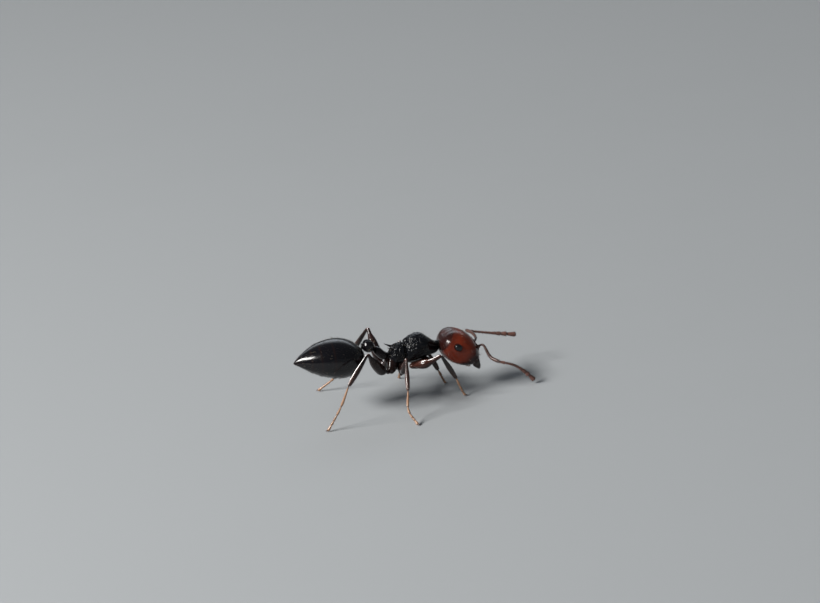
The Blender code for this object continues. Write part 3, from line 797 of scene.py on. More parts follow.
def eye_rings(sign):
    """A low dome of rings, with a small dome on each cell of a net of hexagons."""
    row_step = 0.866
    lift = np.concatenate([[-0.75, -0.4], eased(76, 0.0, 0.999)])
    shrink = np.where(lift < 0, 1.0, np.sqrt(1 - np.clip(lift, 0, 1) ** 2))
    angle = np.linspace(0, 2 * np.pi, 168, endpoint=False)
    forwards = shrink[:, None] * np.cos(angle) * EYE_LENGTH / 2
    upwards = shrink[:, None] * np.sin(angle) * EYE_HEIGHT / 2
    pitch = sizes().facet / MM
    column = np.round(forwards / (pitch * row_step))
    row = np.round(upwards / pitch - 0.5 * (column % 2)) + 0.5 * (column % 2)
    distance = np.hypot(forwards - column * pitch * row_step, upwards - row * pitch) / (0.55 * pitch)
    facet = 0.16 * pitch * np.sqrt(np.clip(1 - distance**2, 0, 1)) * (lift[:, None] > 0.02)
    bulge = np.where(lift < 0, 0.035 * lift, EYE_BULGE * lift)
    across = sign * (HEAD_HALF_WIDTH - 0.004 + bulge[:, None] + facet)
    middle = head_point(0.0, EYE_PLACE, EYE_RISE)
    ways = ((across, ACROSS), (forwards, HEAD_FORWARD), (upwards, HEAD_UP))
    return middle + sum(distance[..., None] * way for distance, way in ways)


class ANT_OT_eyes(bpy.types.Operator):
    """Make the two faceted eyes"""

    bl_idname = "ant.eyes"
    bl_label = "Eyes"

    def execute(self, context):
        for side, sign in SIDES.items():
            shell(f"eye_dome_{side}", [(eye_rings(sign), 0.2)], "Eye", [f"eye_{side}"])
        return {"FINISHED"}


def jaw_bodies(sign):
    """A deep, curved blade that narrows to a hooked tip, and four teeth along its inner edge.

    Upright rings of the blade follow a curve from the cheek to the tip, and their depth shrinks along it.
    """
    path = through([head_point(sign * a, t, r) for a, t, r in JAW_LINE], 81)
    shares, points, directions = stretch(path, 100)
    width = profile(shares, (0, 0.050), (0.3, 0.066), (0.6, 0.056), (0.85, 0.030), (1, 0.010))
    knots = ((0, 0.125), (0.19, 0.117), (0.40, 0.080), (0.64, 0.055), (0.95, 0.034), (1, 0.026))
    width, depth = (size * rounded(shares, 0.10, 0.04) for size in (width, profile(shares, *knots)))
    blade = oval_rings(points, unit(np.cross(directions, HEAD_UP)), HEAD_UP, width, depth, depth, 100, 2.3)
    lift = (blade - points[:, None]) @ HEAD_UP
    grooves = 0.0022 * np.cos(lift * 230 + 3 * shares[:, None]) * swell(shares, 0.5, 0.4)[:, None]
    blade = raised(blade, grooves + 0.001 * noise(blade, 0.03, 4))
    bodies = [(blade, 0.35 + 0.6 * smooth_step(shares, 0.45, 0.95))]
    for k in range(4):
        t = 1.12 - 0.045 * k
        base = head_point(sign * (0.085 + 0.020 * k), t, -0.152 + 0.010 * k)
        tip = head_point(sign * 0.010, t + 0.014, -0.160 + 0.010 * k)
        steps = eased(16)
        radii = 0.030 * (1 - steps) ** 0.8 * rounded(steps, 0.1, 0.0) + 0.0012
        bodies.append((tube(base + (tip - base) * steps[:, None], unit(tip - base), radii, 20, 0.75), 0.95))
    return bodies


def palp_bodies():
    """Two jointed feelers that hang under the mouth on each side."""
    bodies = []
    for sign in SIDES.values():
        for across, reach in ((0.075, 0.17), (0.04, 0.11)):
            start = head_point(sign * across, 0.88, -0.16)
            turn = head_point(sign * (across + 0.02), 0.91, -0.235)
            end = head_point(sign * (across + 0.01), 0.91 - reach * 0.5, -0.225 - reach * 0.35)
            path = through((start, turn, end), 41)
            for k in range(3):
                bodies.append(segment(path, k / 3, (k + 1) / 3 - 0.02, 0.011 - 0.0015 * k, 14, 10))
    return bodies


class ANT_OT_mouth(bpy.types.Operator):
    """Make the toothed jaws, the lip and the mouth's feelers"""

    bl_idname = "ant.mouth"
    bl_label = "Jaws and mouth"

    def execute(self, context):
        for side, sign in SIDES.items():
            shell(f"jaw_{side}", jaw_bodies(sign), "Jaw shell", [f"mandible_{side}"])
        shares = eased(40)
        middle = head_point(0.0, np.linspace(0.88, 1.12, 40), np.linspace(-0.06, -0.148, 40))
        size = rounded(shares, 0.25, 0.15) * (1 - 0.5 * shares)
        lip = oval_rings(middle, ACROSS, HEAD_UP, 0.17 * size, 0.08 * size, 0.06 * size, 60, 2.4)
        shell("lip", [(lip, 0.4)], "Jaw shell")
        shell("mouth_feelers", palp_bodies(), "Foot shell")
        return {"FINISHED"}


# ---------------------------------------------------------------- trunk, waist and gaster


def station_rings(stations, count, around, power, square=False):
    """Superellipse rings through a table of stations, upright or square to the line of their middles."""
    rows = through(stations, count)
    nothing = np.zeros(count)
    step = np.gradient(rows[:, :2], axis=0)
    up = unit(np.stack([nothing, -step[:, 1], step[:, 0]], axis=1)) if square else UPWARDS
    middles = np.stack([nothing, rows[:, 0], rows[:, 1]], axis=1)
    return oval_rings(middles, ACROSS, up, *rows.T[2:], around, power)


def trunk_rings():
    """Rings of the trunk with wrinkles that run along it, the deep groove, seams and breathing holes."""
    grid = station_rings(TRUNK_STATIONS, 300, 310, 2.25)
    x, y, z = grid[..., 0], grid[..., 1], grid[..., 2]
    angle = np.linspace(0, 2 * np.pi, 310, endpoint=False)
    upper = smooth_step(z, -0.10, 0.08)
    spacing, relief = sizes().ruga / MM, sizes().relief / MM
    warp = 0.9 * layered(grid, 0.16, 11) + 0.35 * noise(grid, 0.06, 15)
    wrinkles = 1 - np.abs(np.sin(np.pi * (angle * 0.29 / spacing + warp))) * 1.6
    net = 1 - np.abs(layered(grid, 0.055, 21)) * 3.2
    place = smooth_step(y, -0.60, -0.35) * (0.15 + 0.85 * upper)
    place *= 1 - 0.45 * hill(np.abs(x), 0.0, 0.14) * smooth_step(z, 0.1, 0.3) * smooth_step(y, -0.1, -0.25)
    height = relief * place * (np.maximum(wrinkles, -0.6) + 0.8 * np.clip(net, -0.4, 1))
    height += 0.010 * layered(grid, 0.20, 31) * place
    height -= 0.050 * hill(y, GROOVE_PLACE, 0.022) * upper
    height -= 0.012 * hill(y - 0.10 * np.abs(x), -0.36, 0.016) * smooth_step(z, 0.12, 0.25)
    mirrored = np.stack([np.abs(x), y, z], axis=-1)
    for seam in TRUNK_SEAMS:
        height -= 0.014 * hill(off_line(mirrored, seam), 0, 0.030) * smooth_step(np.abs(x), 0.14, 0.24)
    for hole, radius in BREATHING_HOLES:
        distance = np.linalg.norm(mirrored - hole, axis=-1)
        height += 0.012 * hill(distance, radius, 0.010) - 0.014 * hill(distance, 0, 0.6 * radius)
    for bump, rise, width in TRUNK_BUMPS:
        height += rise * hill(np.linalg.norm(mirrored - bump, axis=-1), 0, width)
    grid = raised(grid, height * smooth_step(y, -0.81, -0.76) * smooth_step(y, 0.41, 0.38))
    return grid, 0.95 * smooth_step(z, -0.10, -0.26)


def spine_body(sign):
    """A cone with a flared foot that curves up a little to a sharp tip."""
    spread, lift = math.radians(SPINE_SPREAD), math.radians(SPINE_LIFT)
    level = math.cos(spread)
    direction = np.array((sign * math.sin(spread), level * math.cos(lift), level * math.sin(lift)))
    shares = eased(60)
    points = np.multiply(SPINE_BASE, (sign, 1, 1)) + np.outer(shares * SPINE_LENGTH, direction)
    points = points + 0.02 * UPWARDS * (shares**2)[:, None]
    radii = 0.10 + 0.80 * (1 - shares) ** 1.1 + 0.75 * np.exp(-shares * 9)
    rings = tube(points, direction, SPINE_RADIUS * radii * rounded(shares, 0.02, 0.015), 40)
    return raised(rings, 0.002 * noise(rings, 0.03, 2) * (1 - shares)[:, None]), 0.15


class ANT_OT_trunk(bpy.types.Operator):
    """Make the wrinkled trunk, its neck and its two spines"""

    bl_idname = "ant.trunk"
    bl_label = "Trunk"

    def execute(self, context):
        rough = "Wrinkled black shell"
        shell("trunk_shell", [trunk_rings()], rough, ["fore_trunk", "propodeum"])
        spines = [spine_body(sign) for sign in SIDES.values()]
        shell("trunk_spines", spines, rough, ["propodeum"])
        neck = through(((0, -0.88, 0.05), (0, -0.80, 0.03), (0, -0.70, 0.02)), 40)
        shares, points, directions = stretch(neck, 40)
        radii = profile(shares, (0, 0.085), (0.4, 0.105), (1, 0.125)) * (1 + 0.03 * np.cos(shares * 60))
        shell("neck", [(tube(points, directions, radii, 48), 0.1)], "Black shell")
        return {"FINISHED"}


def petiole_rings():
    """Rings of the petiole, widest in front, flattened on top with a low edge on each side."""
    grid = station_rings(PETIOLE_STATIONS, 130, 130, 2.4, square=True)
    x, y = grid[..., 0], grid[..., 1]
    height = 0.010 * hill(np.abs(x), 0.14, 0.03) * hill(y, 0.55, 0.08)
    height -= 0.010 * hill(x, 0, 0.07) * hill(y, 0.60, 0.08) * (normals_of(grid)[..., 2] > 0)
    height += 0.004 * layered(grid, 0.07, 41) + 0.0015 * noise(grid, 0.02, 44)
    first, last = PETIOLE_STATIONS[0][0], PETIOLE_STATIONS[-1][0]
    return raised(grid, height * smooth_step(np.minimum(y - first, last - y), 0.0, 0.03))


def postpetiole_rings():
    """Rings of the round postpetiole, parted above by a furrow into two lobes."""
    line = np.subtract(POSTPETIOLE_END, POSTPETIOLE_START)
    t = eased(120, 0.004, 0.992)
    size = swell(t, 0.42, 0.38)
    middles = POSTPETIOLE_START + np.outer(t, line)
    up = np.cross(ACROSS, unit(line))
    depth = size * POSTPETIOLE_HALF_DEPTH
    grid = oval_rings(middles, ACROSS, up, size * POSTPETIOLE_HALF_WIDTH, depth, depth, 150, 2.2)
    above = smooth_step((grid - middles[:, None]) @ up, 0.0, 0.10)
    x, t = grid[..., 0], t[:, None]
    height = above * (0.012 * hill(np.abs(x), 0.09, 0.06) - 0.034 * hill(x, 0, 0.030))
    height *= smooth_step(t, 0.15, 0.45)
    height += (0.0030 * layered(grid, 0.08, 51) + 0.0012 * noise(grid, 0.02, 55)) * swell(t, 0.5, 0.5)
    return raised(grid, height)


class ANT_OT_waist(bpy.types.Operator):
    """Make the petiole, the two-lobed postpetiole and the short tubes that join them"""

    bl_idname = "ant.waist"
    bl_label = "Waist"

    def execute(self, context):
        shell("petiole_shell", [(petiole_rings(), 0.15)], "Wrinkled black shell", ["petiole"])
        shell("postpetiole_shell", [(postpetiole_rings(), 0.1)], "Black shell", ["postpetiole"])
        joints = []
        for start, end, radius in WAIST_JOINTS:
            shares = np.linspace(0, 1, 24)
            points, directions = along(np.linspace(start, end, 24), shares)
            joints.append((tube(points, directions, radius * (1 + 0.05 * np.cos(shares * 50)), 36), 0.3))
        shell("waist_joints", joints, "Black shell")
        return {"FINISHED"}


GASTER_LINE = np.subtract(GASTER_TIP, GASTER_START)
GASTER_UP = np.cross(ACROSS, unit(GASTER_LINE))


def gaster_rings(t, inset=0.0):
    """Rings of the pointed heart at shares t. inset draws the rings in evenly, in millimetres."""
    width = GASTER_HALF_WIDTH * swell(t, 0.50, 0.94)
    top = GASTER_TOP * swell(t, 0.62, 0.85)
    belly = GASTER_BELLY * swell(t, 0.50, 0.98)
    sizes_inset = [np.maximum(size - inset, 0.002) for size in (width, top, belly)]
    return oval_rings(GASTER_START + np.outer(t, GASTER_LINE), ACROSS, GASTER_UP, *sizes_inset, 280, 2.1)


def plate_rings(k):
    """Rings of a gaster plate: from under the plate before it, over its length, round its rear lip and in.

    Below a seam on each side the belly plate lies lower.
    """
    lip = sizes().lip / MM
    first = 0.0015 if k == 0 else TERGITE_ENDS[k - 1] - TERGITE_OVERLAP
    last = TERGITE_ENDS[k] + (0.006 if k < 3 else 0.004)
    way = np.linspace(0, 1, TERGITE_ROWS[k])
    t = first + (last - first) * (way**2, way, way, np.sin(way * np.pi / 2))[k]
    under = 0.0 if k == 0 else 1.0 - smooth_step(t, first + 0.024, first + 0.036)
    outer = gaster_rings(t, lip * under * 1.2)
    if k < 3:
        fold, half = np.linspace(0, np.pi, 9)[1:], lip / 2
        rolled = last + half * np.sin(fold) / np.linalg.norm(GASTER_LINE)
        inner = np.linspace(last, last - TERGITE_OVERLAP, 6)[1:]
        rim = gaster_rings(rolled, half * (1 - np.cos(fold)))
        outer = np.concatenate([outer, rim, gaster_rings(inner, lip)])
        t = np.concatenate([t, rolled, inner])
    t = t[:, None]
    lift = (outer - outer.mean(axis=1, keepdims=True)) @ GASTER_UP
    turn = np.arctan2(lift, np.abs(outer[..., 0]))
    seam = -0.62 - 0.10 * np.cos(2.2 * t)
    height = -0.011 * smooth_step(turn, seam + 0.015, seam - 0.015) * smooth_step(t, 0.02, 0.10)
    height = height * smooth_step(t, 0.985, 0.93)
    height += 0.0030 * layered(outer, 0.34, 61) * smooth_step(np.minimum(t, 1 - t), 0.0, 0.06)
    height += 0.0004 * noise(outer, 0.035, 66)
    edge = smooth_step(t, last - 0.035, last - 0.002) if k < 3 else 0.0
    return raised(outer, height), 0.05 + 0.35 * edge + 0.25 * smooth_step(t, 0.86, 0.99)


class ANT_OT_gaster(bpy.types.Operator):
    """Make the four overlapping plates of the gaster"""

    bl_idname = "ant.gaster"
    bl_label = "Gaster"

    def execute(self, context):
        for k in range(4):
            shell(f"plate_{k + 1}", [plate_rings(k)], "Black shell", [f"gaster_{k + 1}"])
        return {"FINISHED"}


# ---------------------------------------------------------------- legs and antennae


def segment(path, first, last, radius, count=30, around=24, taper=0.78, on_floor=False):
    """A closed limb segment on a part of a path: narrow at its start, widest near its end, round at both."""
    shares, points, directions = stretch(path, count, first, last)
    radii = radius * (taper + (1 - taper) * smooth_step(shares, 0.0, 0.85)) * rounded(shares, 0.16, 0.12)
    rings = tube(points, directions, np.maximum(radii, THINNEST), around)
    deep = 0.75 * (hill(shares, 0.0, 0.10) + hill(shares, 1.0, 0.06))
    return above_floor(rings) if on_floor else rings, deep


def above_floor(rings):
    """Rings flattened where they would reach below the floor."""
    rings[..., 2] = np.maximum(rings[..., 2], FLOOR)
    return rings


def leg_paths(side, pair):
    """The lines of the coxa, femur, tibia and tarsus of one leg."""
    root, hip = np.multiply(COXAE[pair], (-SIDES[side], 1, 1))
    knee, heel, foot, bend = (np.array(place) for place in POSES[side][pair])
    outwards, downwards = FEMUR_BOW[pair]
    middle = (hip + knee) / 2 + (outwards * np.sign(knee[0]), 0.0, -downwards)
    sole = np.array((*foot, FLOOR + 0.8 * sizes().tarsus / MM))
    inner = root * (0.6, 1.0, 1.0) + (0.0, COXA_SETBACK[pair], 0.12)
    coxa = through((inner, root + 0.22 * (hip - root), hip), 40)
    tarsus = through((heel, (heel + sole) / 2 + bend, sole), 65)
    return coxa, through((hip, middle, knee), 65), np.linspace(knee, heel, 33), tarsus


def coxa_bodies(path, pair):
    """A short cone, full near the trunk, that narrows to its joint."""
    tip = COXA_TIP[pair]
    knots = ((0, 0.75), (0.2, 1.0), (0.4, 0.98), (0.7, 0.5 + 0.52 * tip), (0.92, tip), (1, 0.8 * tip))
    shares, rings = limb(path, knots, (0.10, 0.20 * tip), 60, 56, COXA_RADIUS[pair])
    rings = raised(rings, 0.0035 * layered(rings, 0.07, 71) * swell(shares, 0.4, 0.4)[:, None])
    return [(rings, 1.0 - FEMUR_WARMTH[pair] - 0.1 * shares)]


def femur_bodies(path, pair):
    """The trochanter's bulb, and a spindle that swells from it and ends in the knee."""
    length = np.linalg.norm(path[-1] - path[0])
    _, points, directions = stretch(path, 26, 0.0, 0.135 / length)
    bulb = bead(points, directions, 0.044, 36, power=0.8)
    near, middle, far = np.multiply(FEMUR_FULLNESS[pair], FEMUR_RADIUS[pair])
    knots = ((0, 0.034), (0.07, 0.044), (0.25, near), (0.45, middle), (0.66, far), (0.84, 0.055))
    knots = (*knots, (0.95, 0.047), (1, 0.044))
    shares, spindle = limb(path, knots, (0.03, 0.05), 90, 44, flat=0.94, first=0.10 / length)
    spindle = raised(spindle, 0.0012 * layered(spindle, 0.06, 81))
    warmth = FEMUR_WARMTH[pair]
    deep = 1 - warmth - 0.35 * hill(shares, 0.0, 0.06) - 0.45 * hill(shares, 1.0, 0.05)
    return [(bulb, 0.8 - warmth), (spindle, deep)]


def tibia_bodies(path, pair):
    """Narrow at the knee, full beyond the middle and cut in at the heel, with a spur there."""
    radius = TIBIA_RADIUS[pair]
    knots = ((0, 0.032), (0.10, 0.036), (0.30, 0.80 * radius), (0.56, radius), (0.82, 0.90 * radius))
    knots = (*knots, (0.96, 0.68 * radius), (1, 0.60 * radius))
    shares, spindle = limb(path, knots, (0.03, 0.02), 90, 40, flat=0.92)
    spindle = raised(spindle, 0.0010 * layered(spindle, 0.05, 91))
    deep = SHIN_DEPTH[pair] + 0.30 * hill(shares, 0.25, 0.25) - 0.30 * smooth_step(shares, 0.60, 1.0)
    heel, direction = path[-1], unit(path[-1] - path[0])
    steps = eased(18)
    spur_way = unit(direction + (0.0, 0.35, -0.25))
    spur_line = heel - 0.02 * direction + np.outer(steps * 0.085, spur_way)
    spur = tube(spur_line, spur_way, 0.008 * (1 - steps) ** 0.8 + 0.0008, 10)
    return [(spindle, deep), (spur, 0.2)]


def foot_bodies(path):
    """Five segments, each wider at its end, the last of them down on the floor."""
    radius = sizes().tarsus / MM
    starts = np.concatenate([[0], np.cumsum(TARSOMERES)])
    bodies = []
    for k, (size, taper) in enumerate(zip(TARSOMERE_SIZES, TARSOMERE_TAPERS)):
        end = starts[k + 1] + 0.012 * (k < 4)
        bodies.append(segment(path, starts[k], end, radius * size, 26, 22, taper, on_floor=k == 4))
    return bodies


def claw_bodies(path):
    """Two hooked claws and the small pad between them: each claw curves down over its length."""
    direction = unit(unit(path[-1] - path[-4]) * (1, 1, 0))
    across = np.array((-direction[1], direction[0], 0.0))
    length = sizes().claw / MM
    steps = eased(20)[:, None]
    start = path[-1] + 0.004 * UPWARDS - 0.012 * direction
    bodies = []
    for sign in SIDES.values():
        line = start + direction * length * np.sin(1.4 * steps) + sign * across * 0.45 * length * steps
        line = line + UPWARDS * (0.012 * np.sin(np.pi * steps) - 0.022 * steps**2)
        claw = tube(line, unit(np.gradient(line, axis=0)), 0.0095 * (1 - steps[:, 0]) ** 0.7 + 0.0008, 12)
        bodies.append((above_floor(claw), 0.9))
    shares = eased(16)
    line = start + np.outer(shares * 0.5 * length, direction) - np.outer(shares, 0.010 * UPWARDS)
    return [*bodies, (above_floor(bead(line, direction, 0.016, 16, 0.6)), 0.2)]


class ANT_OT_legs(bpy.types.Operator):
    """Make the six legs, each with coxa, femur, tibia, jointed foot and claws"""

    bl_idname = "ant.legs"
    bl_label = "Legs"

    def execute(self, context):
        for side in SIDES:
            for pair in PAIRS:
                coxa, femur, tibia, tarsus = leg_paths(side, pair)
                for part, bodies, material, slot, node in (
                    ("coxa", coxa_bodies(coxa, pair), "Leg shell", "leg_brown", "coxa"),
                    ("femur", femur_bodies(femur, pair), "Leg shell", "leg_brown", "femur"),
                    ("tibia", tibia_bodies(tibia, pair), "Shin shell", "leg_brown", "tibia"),
                    ("foot", foot_bodies(tarsus), "Foot shell", "tarsus_brown", "tarsus"),
                    ("claws", claw_bodies(tarsus), "Foot shell", "tarsus_brown", None),
                ):
                    nodes = [f"{pair}_{side}_{node}"] if node else []
                    shell(f"{part}_{pair}_{side}", bodies, material, nodes)
        return {"FINISHED"}


def antenna_paths(side):
    """The scape's line from its socket, and the funiculus's line from the elbow to the tip."""
    scape = through((socket_place(SIDES[side]), *SCAPES[side]), 81)
    return scape, through((SCAPES[side][-1], *FUNICULI[side]), 121)


def scape_bodies(path):
    """The ball in the socket, and a bent rod that thickens to the elbow."""
    _, points, directions = stretch(path, 26, 0.0, 0.09)
    ball = bead(points, directions, 0.046, 32)
    knots = ((0, 0.60), (0.06, 0.66), (0.35, 0.86), (0.65, 1.04), (0.90, 1.16), (1, 1.0))
    shares, rod = limb(path, knots, (0.02, 0.05), 90, 34, sizes().scape / MM, first=0.05)
    return [(ball, 0.5), (rod, 0.60 + 0.4 * hill(shares, 0.0, 0.10) + 0.3 * hill(shares, 1.0, 0.06))]


def funiculus_bodies(path, segments, first, last, radii):
    """A row of segments between two shares of the path, each narrow at its start."""
    overlap = 0.004
    ends = first + (last - first) * np.concatenate([[0], np.cumsum(segments) / np.sum(segments)])
    stops = np.minimum(ends[1:] + overlap, 1.0)
    return [segment(path, *part, 30, 30, 0.70) for part in zip(ends, stops, radii)]


def antenna_bodies(path):
    """The thin segments of the funiculus with its elbow, then those of its club."""
    split = 1 - CLUB_SHARE
    thin = sizes().funiculus / MM * np.array((1.1, 0.86, 0.86, 0.9, 0.95, 1.0, 1.12))
    thick = sizes().club / MM * np.array((0.84, 1.0, 0.98))
    way = unit(path[3] - path[0])
    elbow = bead(path[0] + np.outer(0.07 * (eased(16) - 0.5), way), way, 0.032, 24)
    first = funiculus_bodies(path, FUNICULUS_SEGMENTS, 0.004, split, thin)
    return [*first, (elbow, 0.8)], funiculus_bodies(path, CLUB_SEGMENTS, split, 1.0, thick)


class ANT_OT_antennae(bpy.types.Operator):
    """Make both antennae, with scape, thin segments and club"""

    bl_idname = "ant.antennae"
    bl_label = "Antennae"

    def execute(self, context):
        for side in SIDES:
            scape, funiculus = antenna_paths(side)
            bodies = (scape_bodies(scape), *antenna_bodies(funiculus))
            for part, made in zip(("scape", "funiculus", "club"), bodies):
                shell(f"{part}_{side}", made, "Antenna shell", [f"antenna_{side}_{part}"])
        return {"FINISHED"}


# ---------------------------------------------------------------- hairs of the body and the limbs


GASTER_SEED, HEAD_SEED, TRUNK_SEED, LEG_SEED, ANTENNA_SEED = 200, 240, 250, 300, 500


def limb_places(bodies, count, seed):
    """Places spread over the larger bodies of a limb, and shares that keep the bodies apart on their map."""
    found = [scattered(rings, count, seed + k) for k, (rings, _) in enumerate(bodies)]
    gathered = [np.concatenate([one[part] for one in found]) for part in range(3)]
    width = 1 / len(found)
    columns = [one[3] * (width, 1.0) + (k * width, 0.0) for k, one in enumerate(found)]
    return (*gathered, np.concatenate(columns))


def tuft(grid, count, seed, *form):
    """A patch of hairs over rings: form is length, radius, stand and curl; their lean has the next seed."""
    return (scattered(grid, count, seed), *form, seed + 1)


def leg_patches(side):
    """Patches of down on the femora, tibiae and feet of one side."""
    count = sizes().limb_hairs
    patches = []
    for number, pair in enumerate(PAIRS):
        _, femur, tibia, tarsus = leg_paths(side, pair)
        seed = LEG_SEED + 40 * number + (20 if side == "left" else 0)
        upper = femur_bodies(femur, pair)[1:] + tibia_bodies(tibia, pair)[:1]
        patches.append((limb_places(upper, count, seed), 0.5, 0.7, 0.3, 0.15, seed))
        feet = foot_bodies(tarsus)[:4]
        patches.append((limb_places(feet, count // 3, seed + 10), 0.45, 0.7, 0.35, 0.1, seed + 1))
    return patches


def antenna_patches(side):
    """Patches of down on the scape, the thin segments and the club of one antenna."""
    count, seed = sizes().limb_hairs, ANTENNA_SEED
    scape, funiculus = antenna_paths(side)
    thin, club = antenna_bodies(funiculus)
    return [
        (limb_places(scape_bodies(scape)[1:], 2 * count, seed), 0.4, 0.7, 0.4, 0.1, seed + 10),
        (limb_places(thin, count // 2, seed + 20), 0.35, 0.7, 0.4, 0.1, seed + 21),
        (limb_places(club, count, seed + 30), 0.35, 0.7, 0.4, 0.1, seed + 31),
    ]


class ANT_OT_hairs(bpy.types.Operator):
    """Make the sparse standing hairs of the body and the down of the body and the limbs"""

    bl_idname = "ant.hairs"
    bl_label = "Hairs"

    def execute(self, context):
        standing, lying = [], []
        for k, (part, kept) in enumerate(((0.5, 0.9), (0.2, 0.9), (0.15, 0.9), (0.15, 0.97))):
            grid = plate_rings(k)[0]
            grid = grid[: int(len(grid) * kept)]
            count, seed = int(sizes().gaster_hairs * part), GASTER_SEED + k
            lying.append((scattered(grid, count, seed), 0.55, 0.7, 0.22, 0.1, seed + 10))
            standing.append((scattered(grid, count // 12, seed + 20), 0.7, 1.0, 0.6, 0.4, seed + 30))
        hairs("gaster_hairs", standing, "Pale hair")
        hairs("gaster_down", lying, "Brown down")
        grid = head_rings()[0][20:-20]
        upright = tuft(grid, 40, HEAD_SEED + 2, 0.9, 1.0, 0.8, 0.2)
        front = tuft(grid[-30:], 46, HEAD_SEED + 4, 0.9, 1.0, 0.8, -0.2)
        hairs("head_hairs", [upright, front], "Pale hair")
        hairs("head_down", [tuft(grid, 520, HEAD_SEED, 0.5, 0.7, 0.25, 0.1)], "Brown down")
        grid = trunk_rings()[0][40:-12]
        upright = tuft(grid, 60, TRUNK_SEED, 1.0, 1.0, 0.85, 0.2)
        waist = tuft(postpetiole_rings()[20:-30], 24, TRUNK_SEED + 4, 1.0, 1.0, 0.8, 0.3)
        hairs("trunk_hairs", [upright, waist], "Pale hair")
        hairs("trunk_down", [tuft(grid, 140, TRUNK_SEED + 2, 0.45, 0.7, 0.3, 0.1)], "Brown down")
        for side in SIDES:
            hairs(f"leg_hairs_{side}", leg_patches(side), "Brown down")
            hairs(f"antenna_hairs_{side}", antenna_patches(side), "Brown down")
        return {"FINISHED"}


# ---------------------------------------------------------------- stage


# Metres, except for the tint, the cosines between which the room brightens and the degrees of its rise.
LIGHT_DISTANCE = 0.14
LIGHT_TINT = (1.0, 0.985, 0.96)
KEY_SIZE = (0.085, 0.025)
SIDE_SIZE = (0.08, 0.05)
ROOM_EDGE = (0.75, 1.0)
ROOM_RISE = 5.0
CAMERA_RANGE = (0.01, 5.0)
FLOOR_FLAT = 0.17
FLOOR_BEND = 0.08


def plain_value(name, description, default):
    return FloatProperty(name=name, description=description, default=default)


class StageSettings(bpy.types.PropertyGroup):
    """The camera's angle and the lights."""

    azimuth: plain_value("Camera azimuth", "Degrees round the ant", -101.0)
    elevation: plain_value("Camera elevation", "Degrees above the floor", 17.0)
    roll: plain_value("Camera roll", "Degrees that the ant climbs", 8.0)
    distance: length_value("Camera distance", "Distance from the camera to the trunk", 0.150)
    view_width: length_value("Width in view", "Width seen at the trunk", 0.01952)
    aim_right: length_value("Aim right", "How far right of the trunk the camera aims", 0.000119)
    aim_up: length_value("Aim up", "How far above the trunk the camera aims", 0.001202)
    key_azimuth: plain_value("Key azimuth", "Degrees round the ant", 186.0)
    key_elevation: plain_value("Key elevation", "Degrees above the floor", 37.0)
    key_power: plain_value("Key light", "Watts of the key light", 0.30)
    side_azimuth: plain_value("Side azimuth", "Degrees round the ant", 122.0)
    side_elevation: plain_value("Side elevation", "Degrees above the floor", 50.0)
    side_power: plain_value("Side light", "Watts of the side light", 0.66)
    bright: plain_value("Bright side", "Strength of the room beyond the ant", 1.9)
    dark: plain_value("Dark side", "Strength of the room elsewhere", 0.12)


def directed(azimuth, elevation):
    """A unit vector from the ant: azimuth 0 is towards -Y, and 90 towards +X."""
    a, e = math.radians(azimuth), math.radians(elevation)
    return np.array((math.sin(a) * math.cos(e), -math.cos(a) * math.cos(e), math.sin(e)))


def facing(place, back, roll=0.0):
    """A matrix at a place whose -Z looks against back, rolled about it by degrees."""
    right = unit(np.cross(UPWARDS, back))
    up = np.cross(back, right)
    cosine, sine = math.cos(math.radians(roll)), math.sin(math.radians(roll))
    turned = np.stack([right * cosine - up * sine, right * sine + up * cosine, back, place], axis=1)
    return Matrix(np.vstack([turned, (0, 0, 0, 1)]).tolist())


def soft_light(name, azimuth, elevation, size, power):
    """A flat light, wide and low, that looks at the trunk."""
    data = bpy.data.lights.new(name, "AREA")
    data.shape = "RECTANGLE"
    data.size, data.size_y = size
    data.energy = power
    data.color = LIGHT_TINT
    light = bpy.data.objects.new(name, data)
    back = directed(azimuth, elevation)
    light.matrix_world = facing(TRUNK_MIDDLE + LIGHT_DISTANCE * back, back)
    bpy.context.scene.collection.objects.link(light)
    return light


def room_light(tree, towards, bright, dark):
    """Light the room from one side: strength rises smoothly near the direction of that side."""
    background = tree.nodes["Background"]
    place = new_node(tree, "TexCoord").outputs["Generated"]
    cosine = new_node(tree, "VectorMath", {0: place, 1: towards}, operation="DOT_PRODUCT").outputs["Value"]
    start, end = ROOM_EDGE
    levels = {"Value": cosine, "From Min": start, "From Max": end, "To Min": dark, "To Max": bright}
    strength = new_node(tree, "MapRange", levels, interpolation_type="SMOOTHSTEP").outputs["Result"]
    feed(tree, background, {"Color": (*colours().sky, 1.0), "Strength": strength})


def floor_object():
    """A round floor that curves up into a wall: rings whose radius and height follow a quarter circle."""
    arc = np.linspace(0, np.pi / 2, 40)[1:]
    radius = np.concatenate([np.linspace(0.0005, FLOOR_FLAT, 40), FLOOR_FLAT + FLOOR_BEND * np.sin(arc)])
    height = np.concatenate([np.zeros(40), FLOOR_BEND * (1 - np.cos(arc))])
    angle = np.linspace(0, 2 * np.pi, 128, endpoint=False)
    x, y = radius[:, None] * np.cos(angle), radius[:, None] * np.sin(angle)
    grid = np.stack([x, y, np.broadcast_to(height[:, None], x.shape)], axis=-1)
    quads, fans = ring_faces(*x.shape)
    points = np.concatenate([grid.reshape(-1, 3), [(0.0, 0.0, 0.0), (0.0, 0.0, FLOOR_BEND)]])
    floor = mesh_object("floor", points, quads[:, ::-1], fans[:128, ::-1], "Pale floor")
    tree = floor.active_material.node_tree
    feed(tree, tree.nodes["Principled BSDF"], {"Specular IOR Level": 0.2})


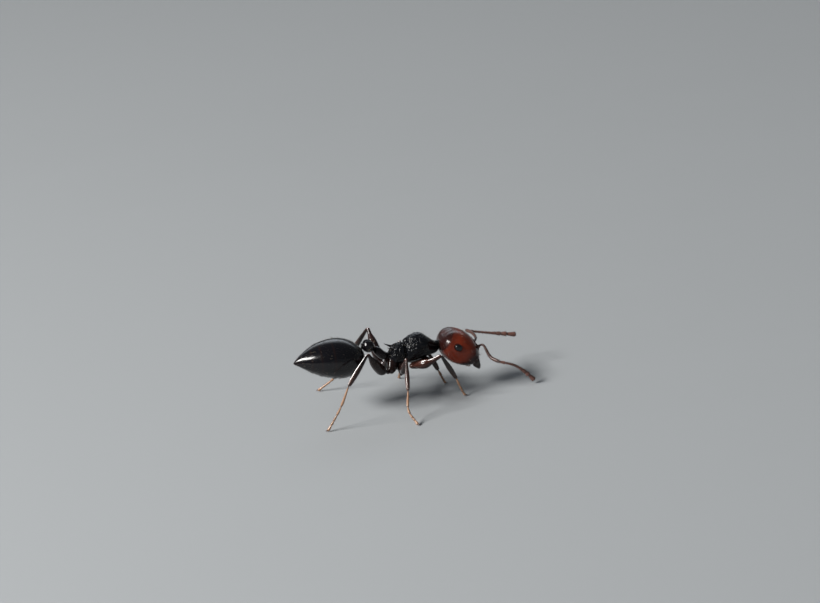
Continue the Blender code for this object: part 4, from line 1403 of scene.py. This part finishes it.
class ANT_OT_stage(bpy.types.Operator):
    """Make the pale floor, the soft lights and the camera"""

    bl_idname = "ant.stage"
    bl_label = "Stage"

    def execute(self, context):
        scene = context.scene
        s = scene.ant_stage
        floor_object()
        world = bpy.data.worlds.new("Room")
        world.use_nodes = True
        room_light(world.node_tree, directed(s.azimuth + 180.0, ROOM_RISE), s.bright, s.dark)
        scene.world = world
        soft_light("key_light", s.key_azimuth, s.key_elevation, KEY_SIZE, s.key_power)
        side = soft_light("side_light", s.side_azimuth, s.side_elevation, SIDE_SIZE, s.side_power)
        limbs = bpy.data.collections.new("limbs")
        for piece in bpy.data.objects:
            if piece.name.split("_")[0] in ("coxa", "femur", "tibia"):
                limbs.objects.link(piece)
        side.light_linking.receiver_collection = limbs
        data = bpy.data.cameras.new("camera")
        data.lens = data.sensor_width * s.distance / s.view_width
        data.clip_start, data.clip_end = CAMERA_RANGE
        camera = bpy.data.objects.new("camera", data)
        back = directed(s.azimuth, s.elevation)
        aimed = np.array(facing(TRUNK_MIDDLE, back, s.roll))
        target = TRUNK_MIDDLE + s.aim_right * aimed[:3, 0] + s.aim_up * aimed[:3, 1]
        camera.matrix_world = facing(target + s.distance * back, back, s.roll)
        scene.collection.objects.link(camera)
        scene.camera = camera
        scene.view_settings.view_transform = "Standard"
        return {"FINISHED"}


# ---------------------------------------------------------------- add-on


OPERATORS = (
    ANT_OT_head,
    ANT_OT_eyes,
    ANT_OT_mouth,
    ANT_OT_trunk,
    ANT_OT_waist,
    ANT_OT_gaster,
    ANT_OT_legs,
    ANT_OT_antennae,
    ANT_OT_hairs,
    ANT_OT_stage,
)
GROUPS = {"ant_sizes": AntSizes, "ant_colours": AntColours, "ant_stage": StageSettings}


class ANT_PT_panel(bpy.types.Panel):
    """The ant's pieces and the values that shape them"""

    bl_idname = "ANT_PT_panel"
    bl_label = "Acrobat Ant"
    bl_space_type = "VIEW_3D"
    bl_region_type = "UI"
    bl_category = "Ant"

    def draw(self, context):
        for operator in OPERATORS:
            self.layout.operator(operator.bl_idname)
        for name in GROUPS:
            values = getattr(context.scene, name)
            box = self.layout.box()
            for key in values.bl_rna.properties.keys():
                if key not in ("rna_type", "name"):
                    box.prop(values, key)


def register():
    for kind in (*GROUPS.values(), *OPERATORS, ANT_PT_panel):
        bpy.utils.register_class(kind)
    for name, kind in GROUPS.items():
        setattr(bpy.types.Scene, name, PointerProperty(type=kind))


def unregister():
    for name in GROUPS:
        delattr(bpy.types.Scene, name)
    for kind in (ANT_PT_panel, *reversed(OPERATORS), *GROUPS.values()):
        bpy.utils.unregister_class(kind)


def main():
    register()
    for operator in OPERATORS:
        getattr(bpy.ops.ant, operator.bl_idname.split(".")[1])()


if __name__ == "__main__":
    main()
